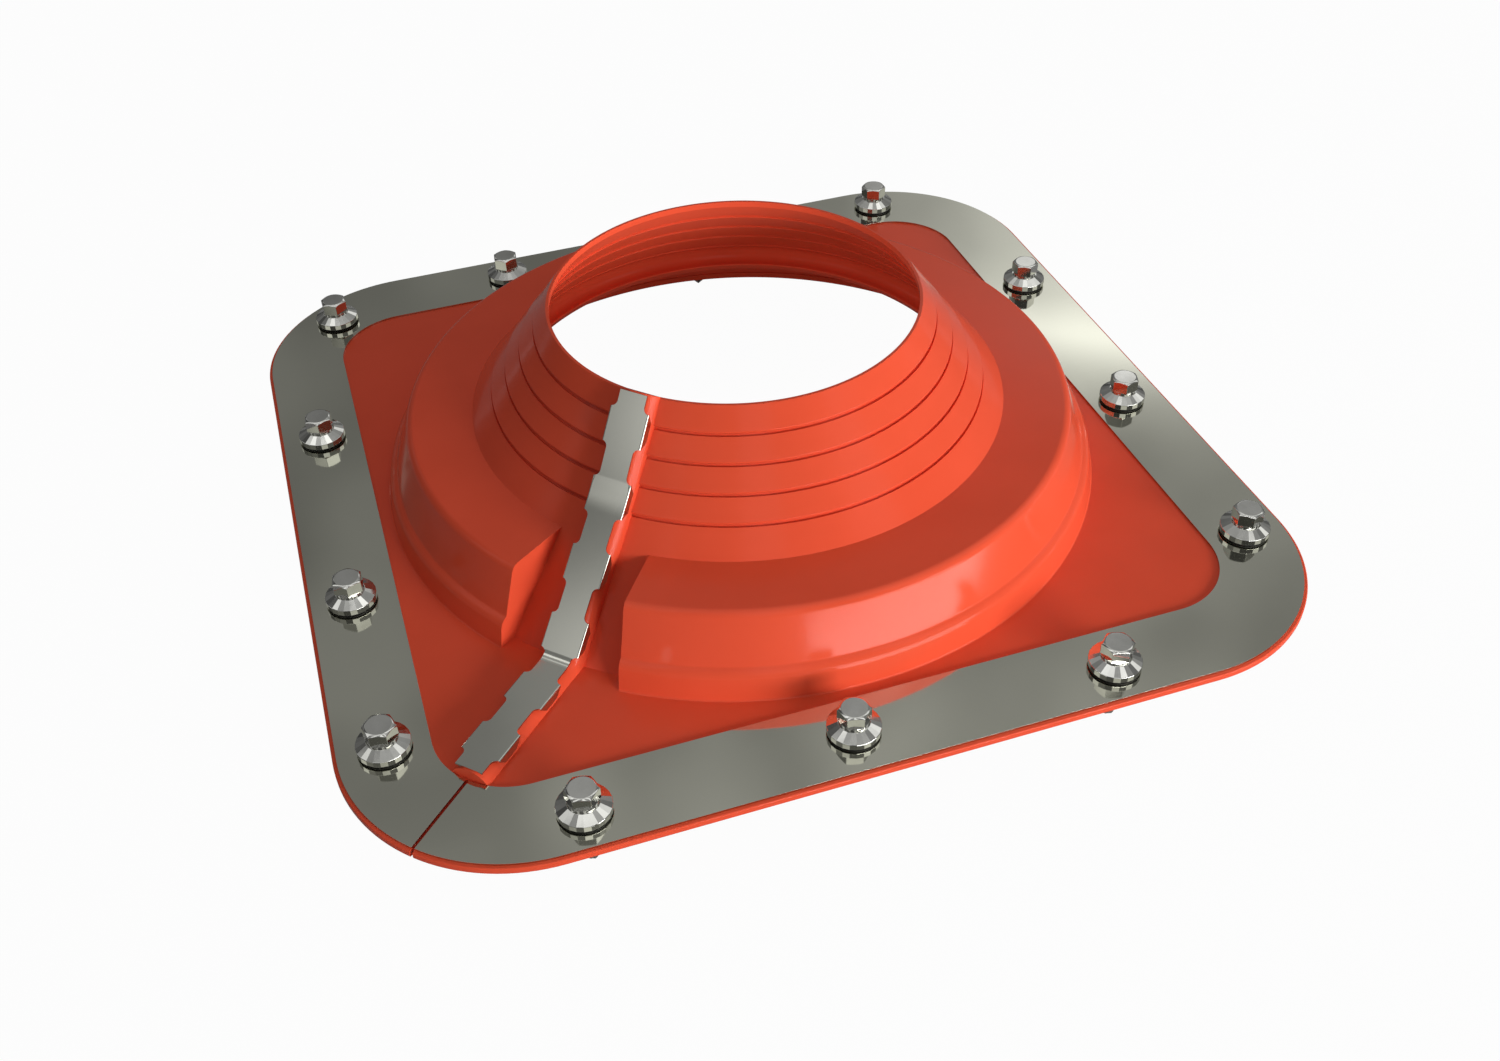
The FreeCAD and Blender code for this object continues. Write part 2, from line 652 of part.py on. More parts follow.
def make_clip():
    body = new_body("clip_strip", SEAM_TURN)
    start_x = crest_start_x + size["clip_overrun"] * cos(lean)
    start_z = crest_start_z - size["clip_overrun"] * sin(lean)
    end_x = window_on_seam - size["clip_end_gap"]
    path = crest_path(body, "clip_path", start_x, start_z, end_x)
    section = across_crest(body, "clip_section", start_x, start_z)
    thick = size["clip_thickness"]
    wide = size["clip_half_width"]
    tab_foot = thick - size["tab_drop"]
    fold = size["clip_edge_round"]
    outline(
        section,
        [
            (-wide, tab_foot),
            (thick - wide, tab_foot),
            (thick - wide, 0),
            (wide - thick, 0),
            (wide - thick, tab_foot),
            (wide, tab_foot),
            (wide, thick, fold),
            (-wide, thick, fold),
        ],
    )
    sweep(body, section, path, "clip_channel")

    # stations along the crest
    upper_trim = size["upper_bend"] * tan((lean - fall) / 2)
    lower_trim = size["lower_bend"] * tan(fall / 2)
    upper_run = (upper_corner_x - start_x) / cos(lean) - upper_trim
    upper_arc = size["upper_bend"] * (lean - fall) * math.radians(1)
    middle_run = (lower_corner_x - upper_corner_x) / cos(fall) - upper_trim - lower_trim
    lower_arc = size["lower_bend"] * fall * math.radians(1)
    middle_start = upper_run + upper_arc
    flat_start = middle_start + middle_run + lower_arc
    length = flat_start + end_x - lower_corner_x - lower_trim

    def on_cone(station):
        return (start_x + station * cos(lean), start_z - station * sin(lean))

    def on_apron(station):
        run = station - middle_start + upper_trim
        return (upper_corner_x + run * cos(fall), upper_corner_z - run * sin(fall))

    def on_flange(station):
        return (lower_corner_x + lower_trim + station - flat_start, flange_crest_z)

    runs = ((on_cone, lean), (on_apron, fall), (on_flange, as_size(0)))
    bends = ((upper_corner_x, upper_corner_z), (lower_corner_x, flange_crest_z))

    def run_at(station):
        if station.number < (upper_run + upper_arc / 2).number:
            return 0
        return 1 if station.number < (flat_start - lower_arc / 2).number else 2

    def below(station, depth, run):
        place, slope = runs[run]
        x, z = place(station)
        return (x - depth * sin(slope), z - depth * cos(slope))

    tabs = [size["first_tab"] + size["tab_pitch"] * n for n in range(int(size["tab_count"].number))]
    gaps = [(-past, tabs[0])]
    gaps += [(tab + size["tab_length"], after) for tab, after in zip(tabs, tabs[1:])]
    gaps.append((tabs[-1] + size["tab_length"], length + past))

    # the tabs' ends slope in below the sheet
    ends = sketch_on(body, "XZ_Plane", "tab_ends")
    deep = size["tab_drop"] + size["clip_thickness"] * 2
    for first, last in gaps:
        before, after = run_at(first), run_at(last)
        crossed = range(before, after)
        spread_first = as_size(0) if first is gaps[0][0] else deep
        spread_last = as_size(0) if last is gaps[-1][1] else deep
        corners = [below(first, 0, before), below(first - spread_first, deep, before)]
        for n in crossed:
            x, z = bends[n]
            corners.append((x - deep * sin(runs[n][1]), z - deep * cos(runs[n + 1][1])))
        corners += [below(last + spread_last, deep, after), below(last, 0, after)]
        corners += [bends[n] for n in reversed(crossed)]
        outline(ends, corners)
    extrude(body, ends, "tab_end_cut", (wide + past) * 2, cut=True, both_ways=True)

    # notches in the sheet between the tabs, drawn flat on each run and meeting at the lower bend
    overlap = thick * 2
    cuts = {0: [], 1: [], 2: []}
    corner_stations = {1: flat_start - lower_arc + lower_trim, 2: flat_start - lower_trim}
    for first, last in gaps:
        before, after = run_at(first), run_at(last)
        rounded = (first is not gaps[0][0], last is not gaps[-1][1])
        if after == 2 and before < 2:
            cuts[1].append((first, corner_stations[1] + overlap, rounded[0], False))
            cuts[2].append((corner_stations[2] - overlap, last, False, rounded[1]))
        else:
            cuts[after].append((first, last, *rounded))
    for run, notches in cuts.items():
        place, slope = runs[run]
        x, z = place(as_size(0))
        flat = Placement(Vector(x.number, 0, z.number), Rotation(Vector(0, 1, 0), slope.number or 1))
        notch = sketch_on(body, "XY_Plane", f"notch_plan_{run}", flat)
        notch.setExpression("AttachmentOffset.Base.x", x.formula)
        notch.setExpression("AttachmentOffset.Base.z", z.formula)
        notch.setExpression("AttachmentOffset.Rotation.Angle", slope.formula)
        for first, last, round_first, round_last in notches:
            for side in (1, -1):
                waist, far = size["clip_waist"] * side, (wide + past) * side
                near = [(first, waist), (last, waist)]
                if round_first:
                    near[0] += (size["notch_round"],)
                if round_last:
                    near[1] += (size["notch_round"],)
                outline(notch, near + [(last, far), (first, far)])
        extrude(body, notch, f"notches_{run}", size["notch_depth"], cut=True, both_ways=True)
    return body


# The fasteners: each screw with its dished washer and its rubber seal, all three on one axis

head_seat = size["seal_thickness"] + size["washer_height"]
washer_foot = size["seal_thickness"]
hex_foot = head_seat + size["neck_height"]


def stand_at(body, place, turn=0.0):
    """Puts a fastener's body on the metal at its place, with its own upright kept."""
    x, y = place
    body.Placement = Placement(Vector(x.number, y.number, metal_top.number), Rotation(Vector(0, 0, 1), turn))
    body.setExpression("Placement.Base.x", x.formula)
    body.setExpression("Placement.Base.y", y.formula)
    body.setExpression("Placement.Base.z", metal_top.formula)


def make_screw(label, place, turn):
    body = new_body(label)
    tip = head_seat - size["screw_length"]
    shank = size["shank_radius"]
    point = size["point_radius"]
    neck = size["neck_radius"]
    section = sketch_on(body, "XZ_Plane", f"{label}_section")
    outline(
        section,
        [
            (0, tip),
            (point, tip + size["point_cone"]),
            (point, tip + size["point_length"]),
            (shank, tip + size["point_length"] + shank - point),
            (shank, head_seat),
            (neck, head_seat),
            (neck, hex_foot),
            (0, hex_foot),
        ],
    )
    revolve(body, section, f"{label}_shank")

    corner = size["hex_flats"] / math.sqrt(3)
    plan = sketch_on(body, "XY_Plane", f"{label}_hexagon_plan")
    plan.setExpression("AttachmentOffset.Base.z", hex_foot.formula)
    angles = [math.radians(30 + 60 * n) for n in range(6)]
    outline(plan, [(corner * math.cos(angle), corner * math.sin(angle)) for angle in angles])
    extrude(body, plan, f"{label}_hexagon", size["hex_height"])

    top = hex_foot + size["hex_height"]
    disc = size["hex_top_radius"]
    far = corner + past
    section = sketch_on(body, "XZ_Plane", f"{label}_chamfer_section")
    outline(section, [(disc, top), (far, top - (far - disc) * tan(size["hex_chamfer"])), (far, top)])
    revolve(body, section, f"{label}_chamfer", cut=True)
    stand_at(body, place, turn)
    return body


def washer_inside():
    """The seal's dome and the inside of the washer, from the washer's foot to its bore."""
    wall = size["washer_wall"]
    return [
        (size["washer_radius"] - wall, washer_foot),
        (size["washer_radius"] - wall, washer_foot + size["washer_edge"] - wall / 2),
        (size["washer_top_radius"], head_seat - wall),
        (hole_radius, head_seat - wall),
    ]


def make_washer(label, place):
    body = new_body(label)
    section = sketch_on(body, "XZ_Plane", f"{label}_section")
    edge = size["washer_radius"]
    outline(
        section,
        [
            (edge, washer_foot),
            (edge, washer_foot + size["washer_edge"]),
            (size["washer_top_radius"], head_seat),
            (hole_radius, head_seat),
        ]
        + washer_inside()[::-1],
    )
    revolve(body, section, f"{label}_dish")
    stand_at(body, place)
    return body


def make_seal(label, place):
    body = new_body(label)
    section = sketch_on(body, "XZ_Plane", f"{label}_section")
    rim = size["seal_radius"]
    outline(section, [(hole_radius, 0), (rim, 0), (rim, washer_foot)] + washer_inside())
    revolve(body, section, f"{label}_ring")
    stand_at(body, place)
    return body


made = [make_boot(), make_frame(), make_clip()]
for number, (place, row) in enumerate(zip(screw_holes, SCREWS), start=1):
    made.append(make_screw(f"screw_{number:02d}", place, row[3]))
    made.append(make_washer(f"washer_{number:02d}", place))
    made.append(make_seal(f"seal_{number:02d}", place))
doc.recompute()

faulty = [item.Name for item in doc.Objects if {"Invalid", "Error"} & set(item.State)]
if faulty:
    raise RuntimeError(f"these objects failed: {faulty}")
for body in made:
    shape = body.Shape
    if shape.isNull() or not shape.isValid():
        raise RuntimeError(f"{body.Label} has no valid shape")

os.makedirs("parts", exist_ok=True)
for body in made:
    body.Shape.exportStep(f"parts/{body.Label}.step")
    box = body.Shape.BoundBox
    print(f"{body.Label}: {body.Shape.Volume / 1000:.2f} cm3, {len(body.Shape.Solids)} solid(s), "
          f"{box.XLength:.1f} x {box.YLength:.1f} x {box.ZLength:.1f} mm, z {box.ZMin:.2f} to {box.ZMax:.2f}")
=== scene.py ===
# %% [markdown]
# Pipe flashing boot. A red silicone rubber boot seals a pipe where it comes through a roof. Its cone
# grips the pipe, its square flange lies on the roof under a metal frame, and screws with sealing
# washers hold the frame down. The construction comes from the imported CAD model. This file gives it
# its finishes, its finer pieces, a camera and a plain studio.

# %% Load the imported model
import math

import bpy
from mathutils import Matrix, Vector


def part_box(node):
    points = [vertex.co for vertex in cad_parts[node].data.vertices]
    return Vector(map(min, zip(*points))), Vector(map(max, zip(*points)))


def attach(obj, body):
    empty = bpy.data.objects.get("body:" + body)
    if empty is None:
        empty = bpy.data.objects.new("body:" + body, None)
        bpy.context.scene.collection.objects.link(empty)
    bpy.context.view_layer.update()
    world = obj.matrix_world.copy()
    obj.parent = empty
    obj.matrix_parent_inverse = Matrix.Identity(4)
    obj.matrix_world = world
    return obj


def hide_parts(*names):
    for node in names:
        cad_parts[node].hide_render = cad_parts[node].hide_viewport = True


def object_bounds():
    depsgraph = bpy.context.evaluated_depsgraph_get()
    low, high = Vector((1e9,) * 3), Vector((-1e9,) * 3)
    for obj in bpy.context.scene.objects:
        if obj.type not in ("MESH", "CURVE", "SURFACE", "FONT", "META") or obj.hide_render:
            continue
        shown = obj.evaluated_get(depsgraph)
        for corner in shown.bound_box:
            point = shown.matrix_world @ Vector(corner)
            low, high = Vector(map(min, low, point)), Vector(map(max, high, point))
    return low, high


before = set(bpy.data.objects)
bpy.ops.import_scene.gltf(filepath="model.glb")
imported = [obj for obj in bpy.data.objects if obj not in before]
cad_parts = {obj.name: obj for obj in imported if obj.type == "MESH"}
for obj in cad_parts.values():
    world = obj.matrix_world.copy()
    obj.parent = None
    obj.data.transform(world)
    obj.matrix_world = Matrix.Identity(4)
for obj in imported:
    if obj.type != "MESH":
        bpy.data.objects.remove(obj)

MM = 0.001
cad_box = [list(corner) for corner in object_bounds()]
print("CAD box in mm:", [[round(x / MM, 1) for x in corner] for corner in cad_box])

# %% [markdown]
# The camera. The photo was taken from the front and a little to the left, from about 41 degrees
# above the roof. A camera could be aimed by eye, but a place, a direction and a lens that are written
# as numbers give the same picture each time. They were found by matching the flange's corners, the
# ring and the mouth to the photo. The picture's right-hand side settles how far the camera is rolled.

# %% Camera at the photo's angle
EYE = Vector((-120.577, -398.170, 325.2)) * MM
LOOK = Vector((0.22310, 0.72040, -0.65670)).normalized()
RIGHT = Vector((0.94826, -0.31651, -0.02506)).normalized()
LENS_MM = 36.43
SENSOR_MM = 36.0

camera_data = bpy.data.cameras.new("camera")
camera_data.lens = LENS_MM
camera_data.sensor_width = SENSOR_MM
camera = bpy.data.objects.new("camera", camera_data)
bpy.context.scene.collection.objects.link(camera)
up = RIGHT.cross(LOOK).normalized()
camera_turn = Matrix((RIGHT, up, -LOOK)).transposed()
camera.matrix_world = Matrix.Translation(EYE) @ camera_turn.to_4x4()
bpy.context.scene.camera = camera
bpy.context.scene.view_settings.view_transform = "Standard"
print("Eye to the flange's centre:", round(EYE.length / MM), "mm")

# %% [markdown]
# Drawing outlines. The rubber and the washers both start as a drawn outline, and a mould or a press
# rounds its corners. The outline could be drawn sharp and bevelled once it is solid, but a bevel slips
# where edges lie close together, as at the trim lines. So the rounding is drawn in the outline: a
# corner can carry a radius, and one helper turns it into points.

# %% Outline helpers
ARC_STEP = math.radians(18)


def rounded(corners):
    """Points of an outline. A corner's third value is the radius of its rounding."""
    points = []
    count = len(corners)
    for i, corner in enumerate(corners):
        here = Vector(corner[:2])
        if len(corner) < 3:
            points.append(here)
            continue
        back = (Vector(corners[i - 1][:2]) - here).normalized()
        ahead = (Vector(corners[(i + 1) % count][:2]) - here).normalized()
        half = back.angle(ahead) / 2
        middle = here + (back + ahead).normalized() * corner[2] / math.sin(half)
        start = here + back * corner[2] / math.tan(half) - middle
        swing = math.pi - 2 * half
        side = 1 if back.cross(ahead) < 0 else -1
        steps = max(2, math.ceil(swing / ARC_STEP))
        for n in range(steps + 1):
            turned = start.copy()
            turned.rotate(Matrix.Rotation(side * swing * n / steps, 2))
            points.append(middle + turned)
    return points


def at_azimuth(points, azimuth):
    """Puts an outline of radius and height, in mm, upright in the plane of that azimuth in degrees."""
    a = math.radians(azimuth)
    return [Vector((p.x * math.cos(a), p.x * math.sin(a), p.y)) * MM for p in points]


rounding = rounded([(0, 0), (10, 0, 2), (10, 10)])
print("A rounded right angle takes", len(rounding) - 2, "points in place of one")

# %% [markdown]
# From outline to solid. As by hand, one vertex is put down, extruded from point to point and then spun
# about the upright axis, like clay on a wheel. Spin leaves doubled points where the turn closes and
# can turn a shape inside out, so the doubles are merged and the normals are recalculated.

# %% Trace and spin
WELD = 0.001


def start_piece():
    """Leaves edit mode and deselects everything, so that an operator touches only what comes next."""
    if bpy.context.object and bpy.context.object.mode != "OBJECT":
        bpy.ops.object.mode_set(mode="OBJECT")
    bpy.ops.object.select_all(action="DESELECT")


def trace(name, points, closed=True):
    """Edges through the points, extruded from one vertex and left in edit mode."""
    start_piece()
    bpy.ops.mesh.primitive_plane_add(size=MM, location=points[0])
    piece = bpy.context.object
    piece.name = name
    bpy.ops.object.transform_apply(location=True, rotation=True, scale=True)
    bpy.ops.object.mode_set(mode="EDIT")
    bpy.ops.mesh.select_all(action="SELECT")
    bpy.ops.mesh.merge(type="CENTER")
    stops = points[1:] + points[:1] if closed else points[1:]
    for here, there in zip(points, stops):
        bpy.ops.mesh.extrude_region_move(TRANSFORM_OT_translate={"value": there - here})
    bpy.ops.mesh.select_all(action="SELECT")
    bpy.ops.mesh.remove_doubles(threshold=WELD * MM)
    return piece


def spin_round(piece, steps, degrees=360):
    """Turns the traced outline about the upright axis into a closed solid."""
    bpy.ops.mesh.select_all(action="SELECT")
    bpy.ops.mesh.spin(steps=steps, angle=math.radians(degrees), center=(0, 0, 0), axis=(0, 0, 1))
    bpy.ops.mesh.select_all(action="SELECT")
    bpy.ops.mesh.remove_doubles(threshold=WELD * MM)
    if degrees < 360:
        bpy.ops.mesh.fill_holes(sides=0)
        bpy.ops.mesh.select_all(action="SELECT")
    bpy.ops.mesh.normals_make_consistent(inside=False)
    bpy.ops.object.mode_set(mode="OBJECT")


print("Points closer than", WELD, "mm are merged")

# %% [markdown]
# The boot's sizes. They are the same driving sizes as in the CAD model, in millimetres, counted from
# the mouth outwards: first the cone's bands, then the flat crown of the ring round it, the ring's
# wall with its crease and bead, and the square flange.

# %% Sizes of the boot
RIM_RADIUS, RIM_WALL, RIM_LAND = 60.2, 0.9, 2.0
FIRST_RUN, FIRST_DROP = 4.65, 6.67
BAND_RUN, BAND_DROP, BANDS = 5.37, 7.0, 4
TRIM_STEP, TRIM_LIP = 0.7, 0.5
CONE_WALL = 1.35
FOOT_RUN, FOOT_DROP, FOOT_WALL = 7.34, 8.13, 1.56
CROWN_HEIGHT, CROWN_WIDTH = 27.9, 21.45
WALL = 2.6
LEDGE_WIDTH, LEDGE_UNDERCUT = 11.5, 1.5
SKIRT_RUN, CREASE_HEIGHT = 5.85, 12.0
BEAD_RUN, BEAD_DROP, BEAD_DRAFT = 2.3, 1.15, 1.65
FLANGE_TOP, FLANGE_LIP, BASE_LIP, BASE_RECESS = 2.2, 1.2, 6.45, 0.5
WINDOW_GAP, FRAME_WIDTH, SHEET = 4.15, 26.3, 0.7
FRAME_CORNER, WINDOW_CORNER = 53.0, 24.0
SEAM_AZIMUTH = -135.0
RING_GAP, END_WALL = 19.6, 1.6
SLIT = 1.0
# Every tool that cuts goes on past the surface by this much, because faces that lie in one plane can
# stop a cut.
PAST = 3.0
print("Cone of", BANDS, "bands, rubber", CONE_WALL, "to", WALL, "mm thick, sheet", SHEET, "mm")

# %% Sizes that follow
first_edge = RIM_RADIUS + FIRST_RUN
foot = first_edge + BAND_RUN * (BANDS - 1) + FOOT_RUN
rim_height = CROWN_HEIGHT + FOOT_DROP + BAND_DROP * (BANDS - 1) + FIRST_DROP
ledge = foot - LEDGE_WIDTH
shoulder = foot + CROWN_WIDTH
crease = shoulder + SKIRT_RUN
bead = crease + BEAD_RUN
ring_foot = bead + BEAD_DRAFT
base_hole = ring_foot - BASE_LIP
half_window = ring_foot + WINDOW_GAP
half_frame = half_window + FRAME_WIDTH
trims = [(first_edge + BAND_RUN * n, rim_height - FIRST_DROP - BAND_DROP * n) for n in range(BANDS)]
bead_height = CREASE_HEIGHT - BEAD_DROP
print("Mouth's radius", RIM_RADIUS, "mm, height", round(rim_height, 1), "mm")
print("Frame's side", round(half_frame * 2, 1), "mm")

# %% [markdown]
# The cone. A roofer cuts it at one of its trim lines to fit a thicker pipe. Each line is a thin lip
# with a narrow groove under it that guides the knife. The lines could be a bump in the material, but
# then the cone's outline would be straight, so they are drawn in the outline that is turned. Two
# directions help there: along the band, and straight out of it.

# %% Cone
LIP_ROUND, GROOVE_ROUND = 0.20, 0.08
GROOVE_WIDTH, GROOVE_DEPTH = 0.95, 0.85
FULL_TURN_STEPS = 240
CONE_BOTTOM = -2.0

band_run, band_drop = BAND_RUN + TRIM_STEP, BAND_DROP - TRIM_LIP
along = Vector((band_run, -band_drop)).normalized()
out = Vector((band_drop, band_run)).normalized()
steps_up = []
for radius, height in reversed(trims):
    lip = Vector((radius, height))
    edge = lip - out * (TRIM_STEP * out.x) + along * GROOVE_WIDTH
    steps_up += [
        (*edge, GROOVE_ROUND),
        (*(edge - out * GROOVE_DEPTH), GROOVE_ROUND),
        (*(lip - out * (TRIM_STEP * out.x + GROOVE_DEPTH)), GROOVE_ROUND),
        (*lip, LIP_ROUND),
        (*(lip + Vector((0, TRIM_LIP))), LIP_ROUND),
    ]
apron_end = foot + CROWN_HEIGHT - CONE_BOTTOM
outline = [(0, CONE_BOTTOM), (apron_end, CONE_BOTTOM), (foot, CROWN_HEIGHT)]
outline += steps_up + [(RIM_RADIUS, rim_height), (0, rim_height)]
boot = trace("silicone_boot", at_azimuth(rounded(outline), SEAM_AZIMUTH), closed=False)
spin_round(boot, FULL_TURN_STEPS)
print("Cone of", len(outline), "corners and", len(boot.data.polygons), "faces")

# %% [markdown]
# The ring. It is a hollow step round the cone that lets the boot flex when the roof moves. It stops on
# both sides of the seam, so it turns less than a full circle, and its two flat ends are bevelled as a
# mould would leave them. Spin turns clockwise as seen from above, so the outline starts at the left
# side of the seam's channel.

# %% Ring
SHOULDER_ROUND, CREASE_ROUND, BEAD_ROUND, RING_FILLET = 3.0, 1.2, 3.6, 0.8
RING_BOTTOM = -3.0
FILLET_SINK, TOE_SINK = 0.02, 0.05
toe = ring_foot + RING_FILLET * 1.5
ring_turn = 360 - RING_GAP
outline = [
    (foot - WALL * 2, RING_BOTTOM),
    (foot - WALL * 2, CROWN_HEIGHT),
    (shoulder, CROWN_HEIGHT, SHOULDER_ROUND),
    (crease, CREASE_HEIGHT, CREASE_ROUND),
    (bead, bead_height, BEAD_ROUND),
    (ring_foot, FLANGE_TOP - FILLET_SINK, RING_FILLET),
    (toe, FLANGE_TOP - TOE_SINK),
    (toe, RING_BOTTOM),
]
ring = trace("ring", at_azimuth(rounded(outline), SEAM_AZIMUTH - RING_GAP / 2))
spin_round(ring, round(FULL_TURN_STEPS * ring_turn / 360), ring_turn)
print("Ring turns", ring_turn, "degrees in", len(ring.data.polygons), "faces")


# %% Ring's ends
def bevel_chosen_faces(piece, width, segments):
    """Rounds the border of the active piece's selected faces."""
    bpy.ops.object.mode_set(mode="EDIT")
    bpy.ops.mesh.select_mode(type="FACE")
    bpy.ops.mesh.region_to_loop()
    bpy.ops.mesh.bevel(offset=width * MM, segments=segments, affect="EDGES", clamp_overlap=False)
    bpy.ops.mesh.select_mode(type="VERT")
    bpy.ops.object.mode_set(mode="OBJECT")


END_ROUND = 1.0
start_piece()
bpy.context.view_layer.objects.active = ring
most = max(len(face.vertices) for face in ring.data.polygons)
for face in ring.data.polygons:
    face.select = len(face.vertices) == most
bevel_chosen_faces(ring, END_ROUND, 5)
azimuths = [math.degrees(math.atan2(v.co.y, v.co.x)) % 360 for v in ring.data.vertices]
print("Ring's ends at azimuths", round(min(azimuths), 1), "and", round(max(azimuths), 1))

# %% [markdown]
# The flange and the frame are flat plates with round corners. A plate could be a scaled cube with
# bevelled edges, but here a plane's four corner points are bevelled and the plane is pushed up, which
# gives even arcs and a single flat top.

# %% Flange plate
CORNER_STEPS = 32


def square_plate(name, half, corner, bottom, top):
    """A flat plate with round corners between two heights, all in mm."""
    start_piece()
    bpy.ops.mesh.primitive_plane_add(size=2 * half * MM, location=(0, 0, bottom * MM))
    plate = bpy.context.object
    plate.name = name
    bpy.ops.object.transform_apply(location=True, rotation=True, scale=True)
    bpy.ops.object.mode_set(mode="EDIT")
    bpy.ops.mesh.select_all(action="SELECT")
    bpy.ops.mesh.bevel(offset=corner * MM, segments=CORNER_STEPS, affect="VERTICES")
    bpy.ops.mesh.select_all(action="SELECT")
    bpy.ops.mesh.extrude_region_move(TRANSFORM_OT_translate={"value": (0, 0, (top - bottom) * MM)})
    bpy.ops.mesh.select_all(action="SELECT")
    bpy.ops.mesh.normals_make_consistent(inside=False)
    bpy.ops.object.mode_set(mode="OBJECT")
    return plate


def bevel_edges(piece, width, segments, degrees=50):
    """Rounds the edges that are sharper than the angle."""
    step = piece.modifiers.new("edges", "BEVEL")
    step.width = width * MM
    step.segments = segments
    step.limit_method = "ANGLE"
    step.angle_limit = math.radians(degrees)
    bpy.context.view_layer.objects.active = piece
    bpy.ops.object.modifier_apply(modifier=step.name)


FLANGE_EDGE = 0.45
flange = square_plate("flange", half_frame + FLANGE_LIP, FRAME_CORNER + FLANGE_LIP, 0, FLANGE_TOP)
bevel_edges(flange, FLANGE_EDGE, 3)
print("Flange plate:", len(flange.data.polygons), "faces")

# %% [markdown]
# The seam's rib. It closes the seam that lets the boot open round a pipe already in place. It could be
# a curve with a bevel, but a curve's section tilts where it turns, so it is pushed by hand instead:
# one section is drawn at the mouth, pushed down the cone, spun through the bend, pushed down the
# apron, spun flat and pushed out to the frame. First come the corners of its crest.

# %% Rib's crest
RISE_CONE, RISE_APRON, RISE_FLANGE = 4.25, 5.65, 3.75
UPPER_BEND, LOWER_BEND = 85.5, 5.5
RIB_OVERRUN, RIB_END_GAP, RIB_END_LEAN, RIB_END_ROUND = 0.7, 0.1, 0.45, 0.7
RIB_HALF = 6.2
lean = math.atan2(BAND_DROP, BAND_RUN)
fall = math.radians(45)

outward = Vector((math.sin(lean), 0, math.cos(lean)))
down_cone = Vector((math.cos(lean), 0, -math.sin(lean)))
down_apron = Vector((math.cos(fall), 0, -math.sin(fall)))
along_flange = Vector((1, 0, 0))
crest_start = Vector((RIM_RADIUS, 0, rim_height)) + outward * RISE_CONE - down_cone * RIB_OVERRUN
over_apron = Vector((foot, 0, CROWN_HEIGHT)) + Vector((math.sin(fall), 0, math.cos(fall))) * RISE_APRON
crest_low = FLANGE_TOP + RISE_FLANGE


def meeting_x(start, slope, other, other_slope):
    """Where two straight runs of the crest would meet if they weren't bent."""
    return (start.z - other.z + start.x * math.tan(slope) - other.x * math.tan(other_slope)) / (
        math.tan(slope) - math.tan(other_slope)
    )


upper_x = meeting_x(crest_start, lean, over_apron, fall)
upper_corner = crest_start + down_cone * (upper_x - crest_start.x) / math.cos(lean)
lower_corner = over_apron + down_apron * (over_apron.z - crest_low) / math.sin(fall)
upper_trim = UPPER_BEND * math.tan((lean - fall) / 2)
lower_trim = LOWER_BEND * math.tan(fall / 2)
window_middle = (half_window - WINDOW_CORNER) * math.sqrt(2)
rib_end = window_middle + math.sqrt(WINDOW_CORNER**2 - RIB_HALF**2) - RIB_END_GAP
print("Crest's corners:", [[round(c, 1) for c in p] for p in (crest_start, upper_corner, lower_corner)])

# %% Rib's section
RIB_FLAT, RIB_SHOULDER, RIB_ARCH, RIB_DEPTH = 1.3, 4.0, 6.5, 5.9
ARCH_STEPS = 8


def arch(side):
    """The rib's rounded shoulder from its flat crest to where its side turns upright."""
    high = Vector((side * RIB_FLAT, 0))
    low = Vector((side * RIB_HALF, -RIB_SHOULDER))
    chord = low - high
    inward = Vector((-chord.y, chord.x)).normalized() * -side
    middle = (high + low) / 2 + inward * math.sqrt(RIB_ARCH**2 - (chord.length / 2) ** 2)
    first = math.atan2(*(high - middle).yx)
    last = math.atan2(*(low - middle).yx)
    return [
        middle + Vector((math.cos(a), math.sin(a))) * RIB_ARCH
        for a in (first + (last - first) * n / ARCH_STEPS for n in range(ARCH_STEPS + 1))
    ]


section = arch(1) + [Vector((RIB_HALF, -RIB_DEPTH)), Vector((-RIB_HALF, -RIB_DEPTH))] + arch(-1)[::-1]
rib = trace("rib", [(crest_start + Vector((0, p.x, 0)) + outward * p.y) * MM for p in section])
bpy.ops.mesh.edge_face_add()
print("Rib's section has", len(section), "points")


# %% Push and bend the rib
def push(direction, length):
    """Extrudes the selected end face straight on."""
    bpy.ops.mesh.extrude_region_move(TRANSFORM_OT_translate={"value": direction * length * MM})


def bend(corner, before, trim, radius, angle, steps):
    """Spins the selected end face through a bend of the crest, about a line across it."""
    upward = Vector((-before.z, 0, before.x))
    centre = corner - before * trim + upward * radius
    bpy.ops.mesh.spin(steps=steps, angle=angle, center=centre * MM, axis=(0, 1, 0))


push(down_cone, (upper_corner - crest_start).length - upper_trim)
bend(upper_corner, down_cone, upper_trim, UPPER_BEND, lean - fall, 8)
push(down_apron, (lower_corner - upper_corner).length - upper_trim - lower_trim)
bend(lower_corner, down_apron, lower_trim, LOWER_BEND, fall, 14)
push(along_flange, rib_end - lower_corner.x - lower_trim)
bpy.ops.mesh.select_all(action="SELECT")
bpy.ops.mesh.remove_doubles(threshold=WELD * MM)
bpy.ops.mesh.normals_make_consistent(inside=False)
bpy.ops.object.mode_set(mode="OBJECT")
reach = max(v.co.x for v in rib.data.vertices) / MM
print("Rib reaches", round(reach, 2), "mm and should reach", round(rib_end, 2), "mm")

# %% [markdown]
# The rib's ends. Both are flat faces that the mould rounds. Each is found in code by its place and its
# normal, its border is bevelled, and the whole rib is then turned to the seam's corner.

# %% Rib's ends
MOUTH_END_ROUND = 0.35
FACE_FIND, FACES_ALIKE = 0.01, 0.99


